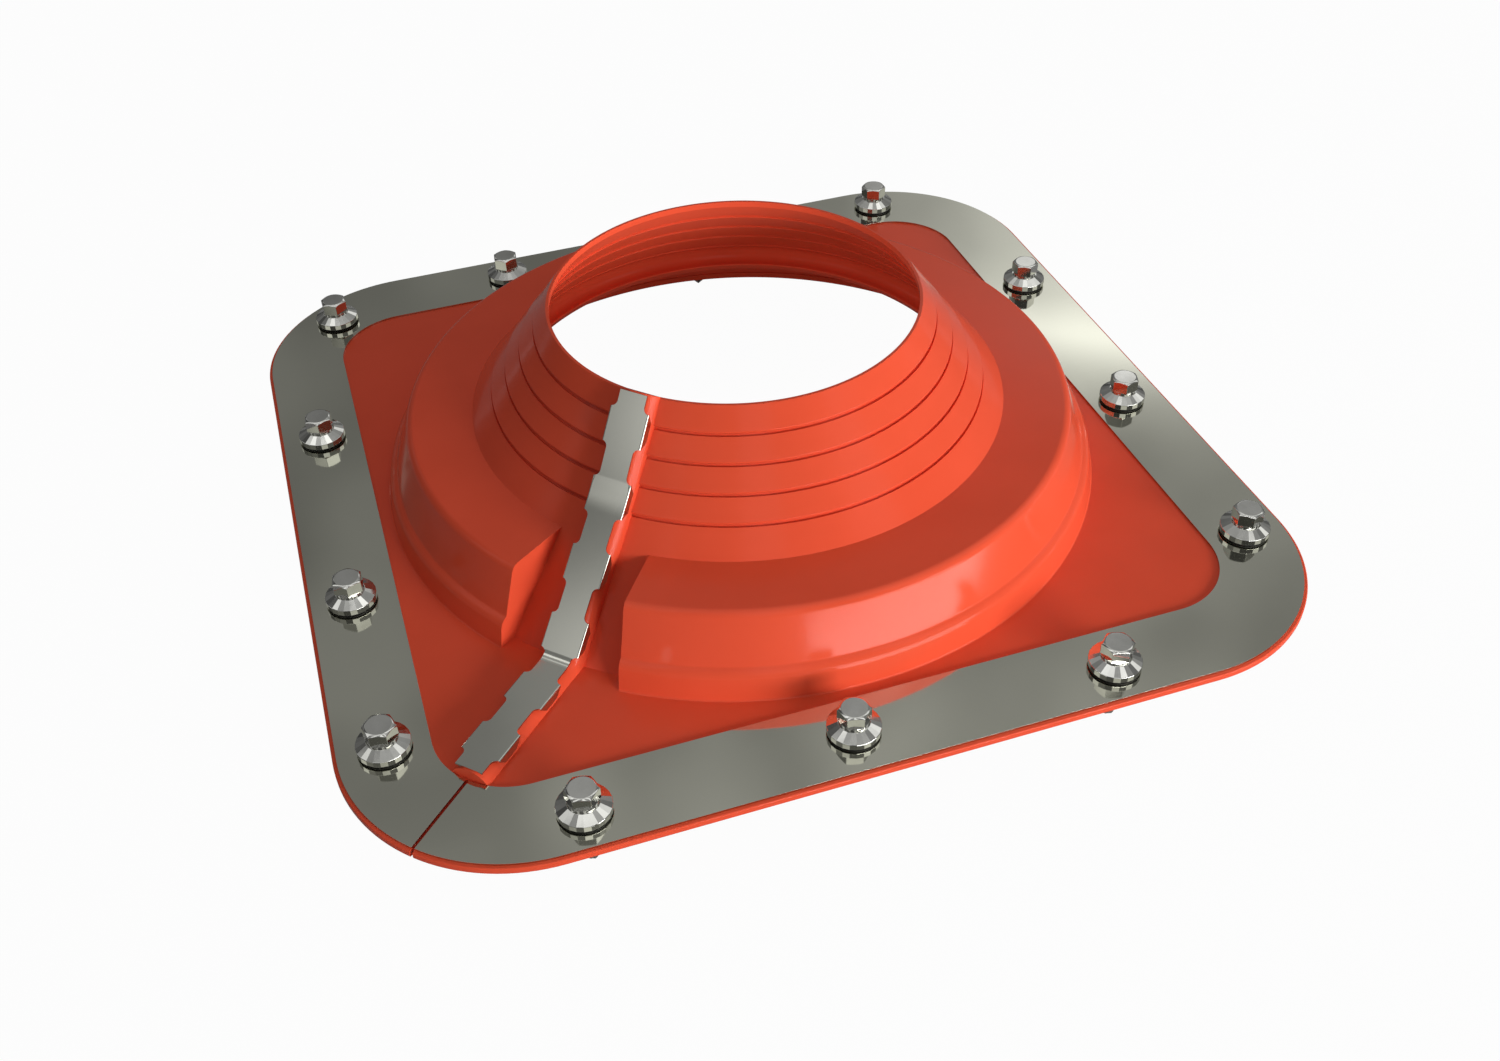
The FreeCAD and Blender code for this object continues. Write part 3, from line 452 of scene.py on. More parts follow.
def round_end(piece, where, direction, width):
    """Bevels the border of the flat end face that lies at a place, square to a direction."""
    start_piece()
    bpy.context.view_layer.objects.active = piece
    for face in piece.data.polygons:
        near = abs((face.center - where * MM).dot(direction)) < FACE_FIND * MM
        face.select = near and abs(face.normal.dot(direction)) > FACES_ALIKE
    chosen = sum(face.select for face in piece.data.polygons)
    bevel_chosen_faces(piece, width, 4)
    return chosen


def turn_to_seam(piece):
    """Turns a piece that was drawn along +X round to the seam's corner."""
    start_piece()
    piece.select_set(True)
    bpy.context.view_layer.objects.active = piece
    piece.rotation_euler = (0, 0, math.radians(SEAM_AZIMUTH))
    bpy.ops.object.transform_apply(location=True, rotation=True, scale=True)


ends = round_end(rib, Vector((rib_end, 0, 0)), along_flange, RIB_END_ROUND)
ends += round_end(rib, crest_start, down_cone, MOUTH_END_ROUND)
turn_to_seam(rib)
farthest = max((v.co for v in rib.data.vertices), key=lambda c: c.length)
print("Rib's ends rounded:", ends, "and the lower one is at", [round(c / MM) for c in farthest])

# %% [markdown]
# One moulding. Rubber comes out of its mould as a single piece, so the cone, the ring, the flange and
# the rib are united into one solid. They could simply be left overlapping, but then hidden walls would
# show through the mouth and the cuts that follow would miss them.

# %% Unite the boot
def combine(piece, tool, operation):
    """Unites the piece with another solid, or cuts it by it, and throws the other one away."""
    step = piece.modifiers.new(operation.lower(), "BOOLEAN")
    step.operation = operation
    step.solver = "EXACT"
    step.object = tool
    bpy.context.view_layer.objects.active = piece
    bpy.ops.object.modifier_apply(modifier=step.name)
    bpy.data.objects.remove(tool)


def block(centre, size, rotation=(0, 0, 0)):
    """A solid block of a size at a place, both in mm."""
    start_piece()
    place = [c * MM for c in centre]
    bpy.ops.mesh.primitive_cube_add(size=1, location=place, rotation=rotation)
    piece = bpy.context.object
    piece.scale = Vector(size) * MM
    bpy.ops.object.transform_apply(location=True, rotation=True, scale=True)
    return piece


BELOW = 20.0
for solid in (ring, flange, rib):
    combine(boot, solid, "UNION")
combine(boot, block((0, 0, -BELOW / 2), (half_frame * 3, half_frame * 3, BELOW)), "DIFFERENCE")
print("Outside of the boot:", len(boot.data.polygons), "faces")

# %% [markdown]
# The way for the pipe. It is one outline turned about the axis, as the mould's core is, and it is cut
# out after everything is united, which keeps it clean where the solids overlapped. It follows the
# cone's steps from inside at the wall's thickness. The bottom shape is guessed, because the photo
# shows only the first bands.

# %% Cut the way for the pipe
INNER_FOOT_ROUND, INNER_LIP_ROUND, LEDGE_ROUND = 3.0, 0.2, 0.4
ceiling = CROWN_HEIGHT - WALL
bore = RIM_RADIUS - RIM_WALL
apron_in = foot - WALL * math.tan(fall / 2)
above = rim_height + RISE_CONE + PAST
way = [(0, above), (bore, above), (bore, rim_height - RIM_LAND)]
for radius, height in trims:
    inner = radius - CONE_WALL
    way += [(inner, height - CONE_WALL, GROOVE_ROUND)]
    way += [(inner - TRIM_STEP, height - CONE_WALL, INNER_LIP_ROUND)]
way += [
    (foot - FOOT_WALL, CROWN_HEIGHT, INNER_FOOT_ROUND),
    (ledge, CROWN_HEIGHT, LEDGE_ROUND),
    (ledge + LEDGE_UNDERCUT, ceiling, LEDGE_ROUND),
    (apron_in, ceiling),
    (apron_in + ceiling, 0),
    (apron_in + ceiling, -PAST),
    (0, -PAST),
]
pipe_way = trace("pipe_way", at_azimuth(rounded(way), SEAM_AZIMUTH), closed=False)
spin_round(pipe_way, FULL_TURN_STEPS)
combine(boot, pipe_way, "DIFFERENCE")
print("Bore at the mouth:", bore, "mm")

# %% [markdown]
# The hollow under the ring. A moulding has even walls, so the ring is hollow from below. The hollow
# stops short of the ring's two ends by the thickness of an end wall on each side.

# %% Cut the hollow under the ring
HOLLOW_ROUND = 1.3
skirt_lean = SKIRT_RUN / (CROWN_HEIGHT - CREASE_HEIGHT)
skirt_in = shoulder - WALL + WALL * skirt_lean / 2
hollow_outline = [
    (ledge + WALL * 2, -PAST),
    (ledge + WALL * 2, ceiling),
    (skirt_in, ceiling, HOLLOW_ROUND),
    (ring_foot - WALL * 2, bead_height - WALL),
    (base_hole + BASE_RECESS, FLANGE_TOP),
    (base_hole, FLANGE_TOP),
    (base_hole, -PAST),
]
hollow_turn = ring_turn - END_WALL * 2
start_azimuth = SEAM_AZIMUTH - RING_GAP / 2 - END_WALL
hollow = trace("hollow", at_azimuth(rounded(hollow_outline), start_azimuth))
spin_round(hollow, round(FULL_TURN_STEPS * hollow_turn / 360), hollow_turn)
combine(boot, hollow, "DIFFERENCE")
print("Hollow turns", round(hollow_turn, 1), "degrees")

# %% [markdown]
# The slit and the screw holes. On the roof the flange is slit at the seam so that it can open, and the
# drill points make the holes. Both pass through the rubber and the metal frame, so their cutters are
# helpers that are used on both. The screws' places are read from the CAD washers, so they always
# agree with the model.

# %% Cutters for the slit and the screws
SHANK, HOLE_CLEARANCE = 2.75, 0.2
CUTTER_HEIGHT = 20
HOLE_SIDES = 32
washer_nodes = sorted(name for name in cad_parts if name.startswith("washer"))
screw_places = []
for name in washer_nodes:
    low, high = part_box(name)
    screw_places.append(Vector(((low[0] + high[0]) / 2, (low[1] + high[1]) / 2, low[2])))


def slit_cutter(start, end, width):
    """A thin upright block along the seam, from one radius to another."""
    cutter = block(((start + end) / 2, 0, 0), (end - start, width, CUTTER_HEIGHT))
    turn_to_seam(cutter)
    return cutter


def hole_cutters(radius):
    """One round rod through each screw's place, joined in one object."""
    start_piece()
    rods = []
    for place in screw_places:
        bpy.ops.mesh.primitive_cylinder_add(
            vertices=HOLE_SIDES,
            radius=radius * MM,
            depth=CUTTER_HEIGHT * MM,
            location=(place.x, place.y, 0),
        )
        rods.append(bpy.context.object)
    for rod in rods:
        rod.select_set(True)
    bpy.ops.object.join()
    bpy.ops.object.transform_apply(location=True, rotation=True, scale=True)
    return bpy.context.object


print("Screw places:", len(screw_places))


# %% Cut and smooth the boot
def smooth(piece, degrees=32):
    """Smooth shading up to an angle, with flat faces kept flat beside their rounded edges."""
    start_piece()
    piece.select_set(True)
    bpy.context.view_layer.objects.active = piece
    bpy.ops.object.shade_smooth_by_angle(angle=math.radians(degrees))
    weights = piece.modifiers.new("flat faces", "WEIGHTED_NORMAL")
    weights.keep_sharp = True
    bpy.ops.object.modifier_apply(modifier=weights.name)
    piece.data.calc_loop_triangles()
    print(piece.name, "has", len(piece.data.loop_triangles), "triangles")


corner_of_flange = half_frame * math.sqrt(2)
screw_hole = SHANK + HOLE_CLEARANCE
combine(boot, slit_cutter(rib_end + RIB_END_LEAN, corner_of_flange, SLIT), "DIFFERENCE")
combine(boot, hole_cutters(screw_hole), "DIFFERENCE")
smooth(boot)

# %% [markdown]
# The metal frame. On the real boot it is a soft aluminium sheet, cut with a die and bent by hand to
# the roof's ribs. It is made like the flange, with a smaller plate cut out of its middle, and its cut
# edges are broken by a tenth of a millimetre so that they catch the light as sheared metal does.

# %% Metal frame
METAL_TOP = FLANGE_TOP + SHEET
SHEARED_EDGE = 0.08
window_bottom, window_top = -PAST, METAL_TOP + PAST
metal = square_plate("metal_frame", half_frame, FRAME_CORNER, FLANGE_TOP, METAL_TOP)
window = square_plate("window", half_window, WINDOW_CORNER, window_bottom, window_top)
combine(metal, window, "DIFFERENCE")
combine(metal, hole_cutters(screw_hole), "DIFFERENCE")
combine(metal, slit_cutter(window_middle, corner_of_flange + FLANGE_LIP * 2, SLIT), "DIFFERENCE")
bevel_edges(metal, SHEARED_EDGE, 2)
smooth(metal)

# %% [markdown]
# The clip. It is a strip folded over the rib with pairs of tabs, and its bends follow the rib exactly.
# It could be bent again from a flat sheet with a Solidify modifier, but the CAD model already holds
# that shape. So a copy of it is taken, its loose triangles are merged and joined into flat faces, and
# its edges are broken as on the frame.

# %% Clip
FOLD_EDGE = 0.07
start_piece()
clip = bpy.data.objects.new("seam_clip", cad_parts["clip_strip"].data.copy())
bpy.context.scene.collection.objects.link(clip)
clip.select_set(True)
bpy.context.view_layer.objects.active = clip
bpy.ops.mesh.customdata_custom_splitnormals_clear()
bpy.ops.object.mode_set(mode="EDIT")
bpy.ops.mesh.select_all(action="SELECT")
bpy.ops.mesh.remove_doubles(threshold=WELD * MM)
bpy.ops.mesh.dissolve_limited(angle_limit=math.radians(0.3))
bpy.ops.object.mode_set(mode="OBJECT")
bevel_edges(clip, FOLD_EDGE, 2, 40)
smooth(clip)

# %% [markdown]
# The screw's head. A roofing screw has a hexagon head, a shank with a rolled thread and a drill point
# that makes its own hole. Each fastener piece is modelled once, upright on the middle of the part, and
# then copied to every screw's place. A turned hexagon has a cone over its corners, so a six-sided rod
# is intersected with a cone, which gives the curved corners that a plain bevel can't.

# %% Rods and cones
def upright(name, radius, low, high, sides=48, top_radius=None):
    """A closed rod or cone between two heights in mm, with its place in its mesh."""
    start_piece()
    bpy.ops.mesh.primitive_cone_add(
        vertices=sides,
        radius1=radius * MM,
        radius2=(radius if top_radius is None else top_radius) * MM,
        depth=(high - low) * MM,
        location=(0, 0, (low + high) / 2 * MM),
    )
    rod = bpy.context.object
    rod.name = name
    bpy.ops.object.transform_apply(location=True, rotation=True, scale=True)
    return rod


SEAL, WASHER_HEIGHT, NECK_HEIGHT, HEX_HEIGHT = 0.86, 3.5, 0.94, 4.45
seat = SEAL + WASHER_HEIGHT
hex_foot = seat + NECK_HEIGHT
hex_top = hex_foot + HEX_HEIGHT
print("Above the frame: washer's top", round(seat, 2), "mm, head's top", round(hex_top, 2), "mm")

# %% Screw head
NECK, HEX_FLATS, HEX_DISC, HEX_SLOPE = 4.2, 8.6, 3.75, 27.0
HEAD_EDGE = 0.12
CHAMFER_SIDES = 90
NECK_OVERLAP = 0.2
head = upright("head", HEX_FLATS / math.sqrt(3), hex_foot, hex_top, sides=6)
chamfer_reach = (HEX_HEIGHT + 1) / math.tan(math.radians(HEX_SLOPE))
chamfer = upright("chamfer", HEX_DISC + chamfer_reach, hex_foot - 1, hex_top, CHAMFER_SIDES, HEX_DISC)
# Half a facet's turn keeps the cone's edges off the hexagon's corners, where they would all but meet.
chamfer.data.transform(Matrix.Rotation(math.pi / CHAMFER_SIDES, 4, "Z"))
combine(head, chamfer, "INTERSECT")
bevel_edges(head, HEAD_EDGE, 2, 24)
neck = upright("neck", NECK, seat, hex_foot + NECK_OVERLAP)
bevel_edges(neck, HEAD_EDGE, 2)
combine(head, neck, "UNION")
print("Head:", len(head.data.polygons), "faces")

# %% [markdown]
# The drill point. It is a short cone on a rod with two flutes, which let the swarf out. Each flute is
# a tilted block cut away on one side.

# %% Drill point
SCREW_LENGTH, POINT_LENGTH, POINT_RADIUS, TIP_CONE = 25.0, 6.5, 2.2, 2.2
ROOT_RADIUS = 2.15
FLUTE_WIDTH, FLUTE_TILT, FLUTE_MIDDLE = 1.5, 14.0, 0.35
SCREW_SIDES = 32
TIP_RADIUS, TIP_OVERLAP = 0.05, 0.01
CORE_BELOW, CORE_ABOVE = 0.5, 0.3
tip = seat - SCREW_LENGTH
point_top = tip + POINT_LENGTH
core = upright("core", ROOT_RADIUS, point_top - CORE_BELOW, seat + CORE_ABOVE, SCREW_SIDES)
point = upright("drill_point", POINT_RADIUS, tip + TIP_CONE, point_top, SCREW_SIDES)
cone_top = tip + TIP_CONE + TIP_OVERLAP
combine(point, upright("tip", TIP_RADIUS, tip, cone_top, SCREW_SIDES, POINT_RADIUS), "UNION")
for side in (1, -1):
    flute_place = (side * FLUTE_WIDTH, side * FLUTE_WIDTH, tip + POINT_LENGTH * FLUTE_MIDDLE)
    flute_size = (FLUTE_WIDTH * 2, FLUTE_WIDTH * 2, POINT_LENGTH)
    flute = block(flute_place, flute_size, (math.radians(FLUTE_TILT) * side, 0, 0))
    combine(point, flute, "DIFFERENCE")
combine(core, point, "UNION")
print("Tip at", round(tip, 1), "mm, and the point's top at", round(point_top, 1), "mm")

# %% [markdown]
# The thread. It is rolled into the shank, so its section is a thin ridge with sloping sides. A Screw
# modifier winds that section up the shank, which is quicker than spinning it by hand and gives an
# even pitch. It stays a closed shell of its own round the core, and it is joined to the head.

# %% Thread
PITCH, CREST_HALF = 1.8, 0.12
THREAD_ROOT = ROOT_RADIUS - 0.3
THREAD_TOP, THREAD_START = 1.0, 0.3
thread_foot = Vector((0, 0, point_top - THREAD_START))
turns = math.floor((seat - THREAD_TOP - point_top) / PITCH) - 1
thread_section = [
    Vector((THREAD_ROOT, 0, 0)),
    Vector((ROOT_RADIUS, 0, 0)),
    Vector((SHANK, 0, PITCH / 2 - CREST_HALF)),
    Vector((SHANK, 0, PITCH / 2 + CREST_HALF)),
    Vector((ROOT_RADIUS, 0, PITCH * 0.95)),
    Vector((THREAD_ROOT, 0, PITCH * 0.95)),
]
thread = trace("thread", [(p + thread_foot) * MM for p in thread_section])
bpy.ops.object.mode_set(mode="OBJECT")
wind = thread.modifiers.new("wind", "SCREW")
wind.screw_offset = PITCH * MM
wind.iterations = turns
wind.steps = 24
wind.render_steps = 24
bpy.ops.object.modifier_apply(modifier=wind.name)
bpy.ops.object.mode_set(mode="EDIT")
bpy.ops.mesh.select_all(action="SELECT")
bpy.ops.mesh.fill_holes(sides=0)
bpy.ops.mesh.select_all(action="SELECT")
bpy.ops.mesh.normals_make_consistent(inside=False)
bpy.ops.object.mode_set(mode="OBJECT")
print("Thread of", turns, "turns")

# %% Join the screw
start_piece()
for solid in (head, core, thread):
    solid.select_set(True)
bpy.context.view_layer.objects.active = head
bpy.ops.object.join()
screw = head
screw.name = "screw_pattern"
smooth(screw, 20)

# %% [markdown]
# The washer. It is pressed from steel sheet into a shallow cone. The cone shows flat facets in the
# photo, so its outline turns in only two dozen steps and keeps its faces flat.

# %% Washer
WASHER_RADIUS, WASHER_EDGE, WASHER_TOP, WASHER_WALL, WASHER_BREAK = 7.85, 1.87, 4.7, 1.0, 0.22
WASHER_FOOT_BREAK = 0.1
FACETS = 24
inside_washer = [
    (WASHER_RADIUS - WASHER_WALL, SEAL),
    (WASHER_RADIUS - WASHER_WALL, SEAL + WASHER_EDGE - WASHER_WALL / 2),
    (WASHER_TOP, seat - WASHER_WALL),
    (screw_hole, seat - WASHER_WALL),
]
dish = [
    (WASHER_RADIUS, SEAL, WASHER_FOOT_BREAK),
    (WASHER_RADIUS, SEAL + WASHER_EDGE, WASHER_BREAK),
    (WASHER_TOP, seat, WASHER_BREAK),
    (screw_hole, seat),
]
washer = trace("washer_pattern", at_azimuth(rounded(dish + inside_washer[::-1]), 0))
spin_round(washer, FACETS)
start_piece()
washer.select_set(True)
bpy.context.view_layer.objects.active = washer
bpy.ops.object.shade_smooth_by_angle(angle=math.radians(5))
print("Washer:", len(washer.data.polygons), "faces")

# %% [markdown]
# The seal. It is a pad of black rubber bonded under the washer, and its top fills the washer's hollow,
# so both share one line of points. The screw squeezes it a little, so its rim is round.

# %% Seal
SEAL_RADIUS, SEAL_ROUND, SEAL_STEPS = 7.4, 0.38, 64
pad = [(screw_hole, 0), (SEAL_RADIUS, 0, SEAL_ROUND), (SEAL_RADIUS, SEAL, SEAL_ROUND)]
seal = trace("seal_pattern", at_azimuth(rounded(pad + inside_washer), 0))
spin_round(seal, SEAL_STEPS)
smooth(seal)

# %% [markdown]
# Finishes. Two effects are shared, so each is a node group that gives masks and heights: the skin of a
# rubber moulding, with soft blotches and a very fine grain, and rolled metal, with streaks along the
# rolling direction and cloudy smudges from handling. They could be image textures, but patterns made
# from noise need no file and no unwrapping. Each material sets the group's values itself and keeps
# its own shader. All patterns read Object coordinates, so they stay put on every piece.

# %% Group helper
def new_group(name, inputs, outputs):
    """A shader node group with named number sockets, and its two end nodes."""
    group = bpy.data.node_groups.new(name, "ShaderNodeTree")
    group.interface.new_socket(name="Vector", in_out="INPUT", socket_type="NodeSocketVector")
    for title, value in inputs:
        socket = group.interface.new_socket(name=title, in_out="INPUT", socket_type="NodeSocketFloat")
        socket.default_value = value
    for title in outputs:
        group.interface.new_socket(name=title, in_out="OUTPUT", socket_type="NodeSocketFloat")
    start = group.nodes.new("NodeGroupInput")
    end = group.nodes.new("NodeGroupOutput")
    print("Group", name, "gives", outputs)
    return group, start, end


# %% Node helpers
def feed(tree, value, socket):
    """Puts a number in a socket, or links another node's output to it."""
    if isinstance(value, (int, float)):
        socket.default_value = value
    else:
        tree.links.new(value, socket)


def noise(tree, vector, scale, detail, roughness=0.5):
    """Soft noise at the vector's place."""
    node = tree.nodes.new("ShaderNodeTexNoise")
    for name, value in (("Vector", vector), ("Scale", scale), ("Detail", detail), ("Roughness", roughness)):
        feed(tree, value, node.inputs[name])
    return node.outputs["Fac"]


def stretch(tree, value, low, high, to_low, to_high):
    """Maps a range of a mask onto another range, clamped."""
    node = tree.nodes.new("ShaderNodeMapRange")
    names = ("Value", "From Min", "From Max", "To Min", "To Max")
    for name, number in zip(names, (value, low, high, to_low, to_high)):
        feed(tree, number, node.inputs[name])
    return node.outputs["Result"]


def math_node(tree, operation, first, second=0.0):
    """A Math node on two numbers or outputs."""
    node = tree.nodes.new("ShaderNodeMath")
    node.operation = operation
    feed(tree, first, node.inputs[0])
    feed(tree, second, node.inputs[1])
    return node.outputs[0]


print("Node helpers are ready")

# %% Moulded skin group
skin, start, end = new_group(
    "moulded_skin", (("Scale", 40.0), ("Grain Scale", 2600.0)), ("Blotch", "Grain")
)
broad = noise(skin, start.outputs["Vector"], start.outputs["Scale"], 3.0)
skin.links.new(stretch(skin, broad, 0.35, 0.65, 0.0, 1.0), end.inputs["Blotch"])
fine = noise(skin, start.outputs["Vector"], start.outputs["Grain Scale"], 1.0)
skin.links.new(fine, end.inputs["Grain"])

# %% Rolled metal group
ROLLING_STRETCH = (0.03, 1.0, 1.0)
rolled, start, end = new_group(
    "rolled_metal", (("Scale", 12.0), ("Streak Scale", 900.0)), ("Smudge", "Streak")
)
cloud = noise(rolled, start.outputs["Vector"], start.outputs["Scale"], 4.0, 0.6)
rolled.links.new(stretch(rolled, cloud, 0.35, 0.70, 0.0, 1.0), end.inputs["Smudge"])
drawn_out = rolled.nodes.new("ShaderNodeVectorMath")
drawn_out.operation = "MULTIPLY"
drawn_out.inputs[1].default_value = ROLLING_STRETCH
rolled.links.new(start.outputs["Vector"], drawn_out.inputs[0])
streak = noise(rolled, drawn_out.outputs[0], start.outputs["Streak Scale"], 2.0)
rolled.links.new(streak, end.inputs["Streak"])

# %% Material helpers
def new_material(name, group, values):
    """A material with a Principled shader and one of the shared groups on Object coordinates."""
    material = bpy.data.materials.new(name)
    material.use_nodes = True
    tree = material.node_tree
    place = tree.nodes.new("ShaderNodeTexCoord")
    effect = tree.nodes.new("ShaderNodeGroup")
    effect.node_tree = group
    for title, value in values:
        effect.inputs[title].default_value = value
    tree.links.new(place.outputs["Object"], effect.inputs["Vector"])
    print("Material", name, "with", dict(values))
    return material, tree, tree.nodes["Principled BSDF"], effect


def tint(tree, shader, mask, one, other):
    """Base colour between two colours by a mask."""
    mix = tree.nodes.new("ShaderNodeMix")
    mix.data_type = "RGBA"
    mix.inputs["A"].default_value = (*one, 1.0)
    mix.inputs["B"].default_value = (*other, 1.0)
    tree.links.new(mask, mix.inputs["Factor"])
    tree.links.new(mix.outputs["Result"], shader.inputs["Base Color"])


def matt_by(tree, shader, mask, smoothest, mattest):
    """Roughness between two values by a mask."""
    tree.links.new(stretch(tree, mask, 0.0, 1.0, smoothest, mattest), shader.inputs["Roughness"])


def bump(tree, shader, height, strength, depth_mm):
    """Very fine relief that is too small for geometry."""
    node = tree.nodes.new("ShaderNodeBump")
    node.inputs["Strength"].default_value = strength
    node.inputs["Distance"].default_value = depth_mm * MM
    tree.links.new(height, node.inputs["Height"])
    tree.links.new(node.outputs["Normal"], shader.inputs["Normal"])


# %% [markdown]
# Rubber. Silicone of this kind is coloured all through and comes out of a polished mould, so it is
# smooth and only slightly uneven. Its mirroring is turned down, because a bright studio would turn
# its red pale at glancing angles. The seals are a cheaper black rubber, matt and rougher.

# %% Rubber materials
SILICONE_MIRRORING = 0.15
red_silicone, tree, shader, effect = new_material(
    "red_silicone", skin, (("Scale", 38.0), ("Grain Scale", 2400.0))
)
tint(tree, shader, effect.outputs["Blotch"], (0.745, 0.083, 0.035), (0.775, 0.088, 0.038))
matt_by(tree, shader, effect.outputs["Blotch"], 0.13, 0.17)
shader.inputs["Specular IOR Level"].default_value = SILICONE_MIRRORING
bump(tree, shader, effect.outputs["Grain"], 0.12, 0.02)

black_rubber, tree, shader, effect = new_material(
    "black_rubber", skin, (("Scale", 160.0), ("Grain Scale", 4000.0))
)
tint(tree, shader, effect.outputs["Blotch"], (0.012, 0.012, 0.012), (0.02, 0.02, 0.019))
matt_by(tree, shader, effect.outputs["Blotch"], 0.45, 0.6)
bump(tree, shader, effect.outputs["Grain"], 0.3, 0.05)

# %% [markdown]
# Metal. The frame is bright rolled sheet, nearly a mirror. The clip is a little duller. Zinc on the
# screws and washers is brighter and colder, with small differences from plating. All three are one
# recipe with different values, so a helper makes them.

# %% Metal materials
STREAK_DEPTH = 0.004


def metal_material(name, values, dark, bright, smoothest, mattest, streaks):
    """A metal with smudges in its colour and gloss, and faint streaks from rolling."""
    material, tree, shader, effect = new_material(name, rolled, values)
    shader.inputs["Metallic"].default_value = 1.0
    tint(tree, shader, effect.outputs["Smudge"], dark, bright)
    matt_by(tree, shader, effect.outputs["Smudge"], smoothest, mattest)
    bump(tree, shader, effect.outputs["Streak"], streaks, STREAK_DEPTH)
    return material


rolled_sheet = metal_material(
    "rolled_sheet", (("Scale", 14.0), ("Streak Scale", 700.0)),
    (0.59, 0.59, 0.50), (0.62, 0.62, 0.525), 0.05, 0.075, 0.15,
)
bent_strip = metal_material(
    "bent_strip", (("Scale", 30.0), ("Streak Scale", 900.0)),
    (0.60, 0.60, 0.53), (0.63, 0.63, 0.56), 0.10, 0.13, 0.2,
)
bright_zinc = metal_material(
    "bright_zinc", (("Scale", 220.0), ("Streak Scale", 1500.0)),
    (0.64, 0.64, 0.60), (0.72, 0.72, 0.68), 0.05, 0.09, 0.15,
)

# %% [markdown]
# Putting the pieces in place. The boot, the frame and the clip are already where they belong, so they
# only take the places of their CAD nodes and get their finishes.

# %% Large pieces
def stands_for(piece, node, material):
    """The finished piece takes a CAD node's place, rides on the part's body and gets its finish."""
    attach(piece, "root")
    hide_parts(node)
    piece.data.materials.clear()
    piece.data.materials.append(material)


stands_for(boot, "boot", red_silicone)
stands_for(metal, "frame_ring", rolled_sheet)
stands_for(clip, "clip_strip", bent_strip)
print("Large pieces:", boot.name, metal.name, clip.name)

# %% [markdown]
# Placing the fasteners. Each one is a copy of its pattern with its own mesh, moved to the middle of
# the CAD washer. On a real roof no two heads stop at the same turn, and the CAD heads are turned as in
# the photo, so each copy's hexagon is turned until its corners meet the CAD head's.

# %% Turn and copy
HEAD_SIDES_FROM = 0.2


def corner_turn(points):
    """The turn of a hexagon, from the point that lies farthest from its axis."""
    corner = max(points, key=lambda c: c.xy.length)
    return math.atan2(corner.y, corner.x) % math.radians(60)


def copy_of(pattern, name, place, turned=0.0):
    """A copy with its own mesh, moved and turned in its mesh."""
    copy = bpy.data.objects.new(name, pattern.data.copy())
    bpy.context.scene.collection.objects.link(copy)
    copy.data.transform(Matrix.Translation(place) @ Matrix.Rotation(turned, 4, "Z"))
    return copy


low_side = hex_foot + HEAD_SIDES_FROM
own_turn = corner_turn([v.co for v in screw.data.vertices if v.co.z > low_side * MM])
print("The pattern's head is turned by", round(math.degrees(own_turn), 1), "degrees")

# %% Fasteners in place
cad_side = METAL_TOP + hex_foot + HEAD_SIDES_FROM
for place, washer_node in zip(screw_places, washer_nodes):
    number = washer_node.split("_")[1]
    foot_point = Vector((place.x, place.y, METAL_TOP * MM))
    cad_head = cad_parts[f"screw_{number}"].data.vertices
    cad_turn = corner_turn([v.co - place for v in cad_head if v.co.z > cad_side * MM])
    turned = cad_turn - own_turn
    screw_copy = copy_of(screw, f"roofing_screw_{number}", foot_point, turned)
    stands_for(screw_copy, f"screw_{number}", bright_zinc)
    washer_copy = copy_of(washer, f"dished_washer_{number}", foot_point, turned)
    stands_for(washer_copy, washer_node, bright_zinc)
    seal_copy = copy_of(seal, f"bonded_seal_{number}", foot_point)
    stands_for(seal_copy, f"seal_{number}", black_rubber)
for pattern in (screw, washer, seal):
    bpy.data.objects.remove(pattern)
print("Fasteners placed:", len(washer_nodes))

# %% [markdown]
# The CAD nodes. They don't show, because the finished pieces stand for them, but they keep the same
# finishes for anyone who looks at them alone.

# %% Finishes on the CAD nodes
FINISHES = {"boot": red_silicone, "frame": rolled_sheet, "clip": bent_strip,
            "screw": bright_zinc, "washer": bright_zinc, "seal": black_rubber}
for name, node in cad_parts.items():
    node.data.materials.clear()
    node.data.materials.append(FINISHES[name.split("_")[0]])
print("CAD nodes finished:", len(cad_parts))

# %% [markdown]
# The floor. It is a wide plain sheet just under the screws' points. It is white where the camera looks
# at it, so that the picture's background is white, and it is matt grey to the lamps, so that it takes
# a soft shadow. Near the boot the mirrored floor stays grey too, so that the rubber keeps its red at
# glancing angles, and it turns white far away.

# %% Floor
FLOOR_SIZE = 30.0
FLOOR_Z = cad_box[0][2] - 0.2 * MM
FLOOR_MM = FLOOR_Z / MM
start_piece()
bpy.ops.mesh.primitive_plane_add(size=FLOOR_SIZE, location=(0, 0, FLOOR_Z))
floor = bpy.context.object
floor.name = "floor"
print("Floor at", round(FLOOR_MM, 1), "mm")

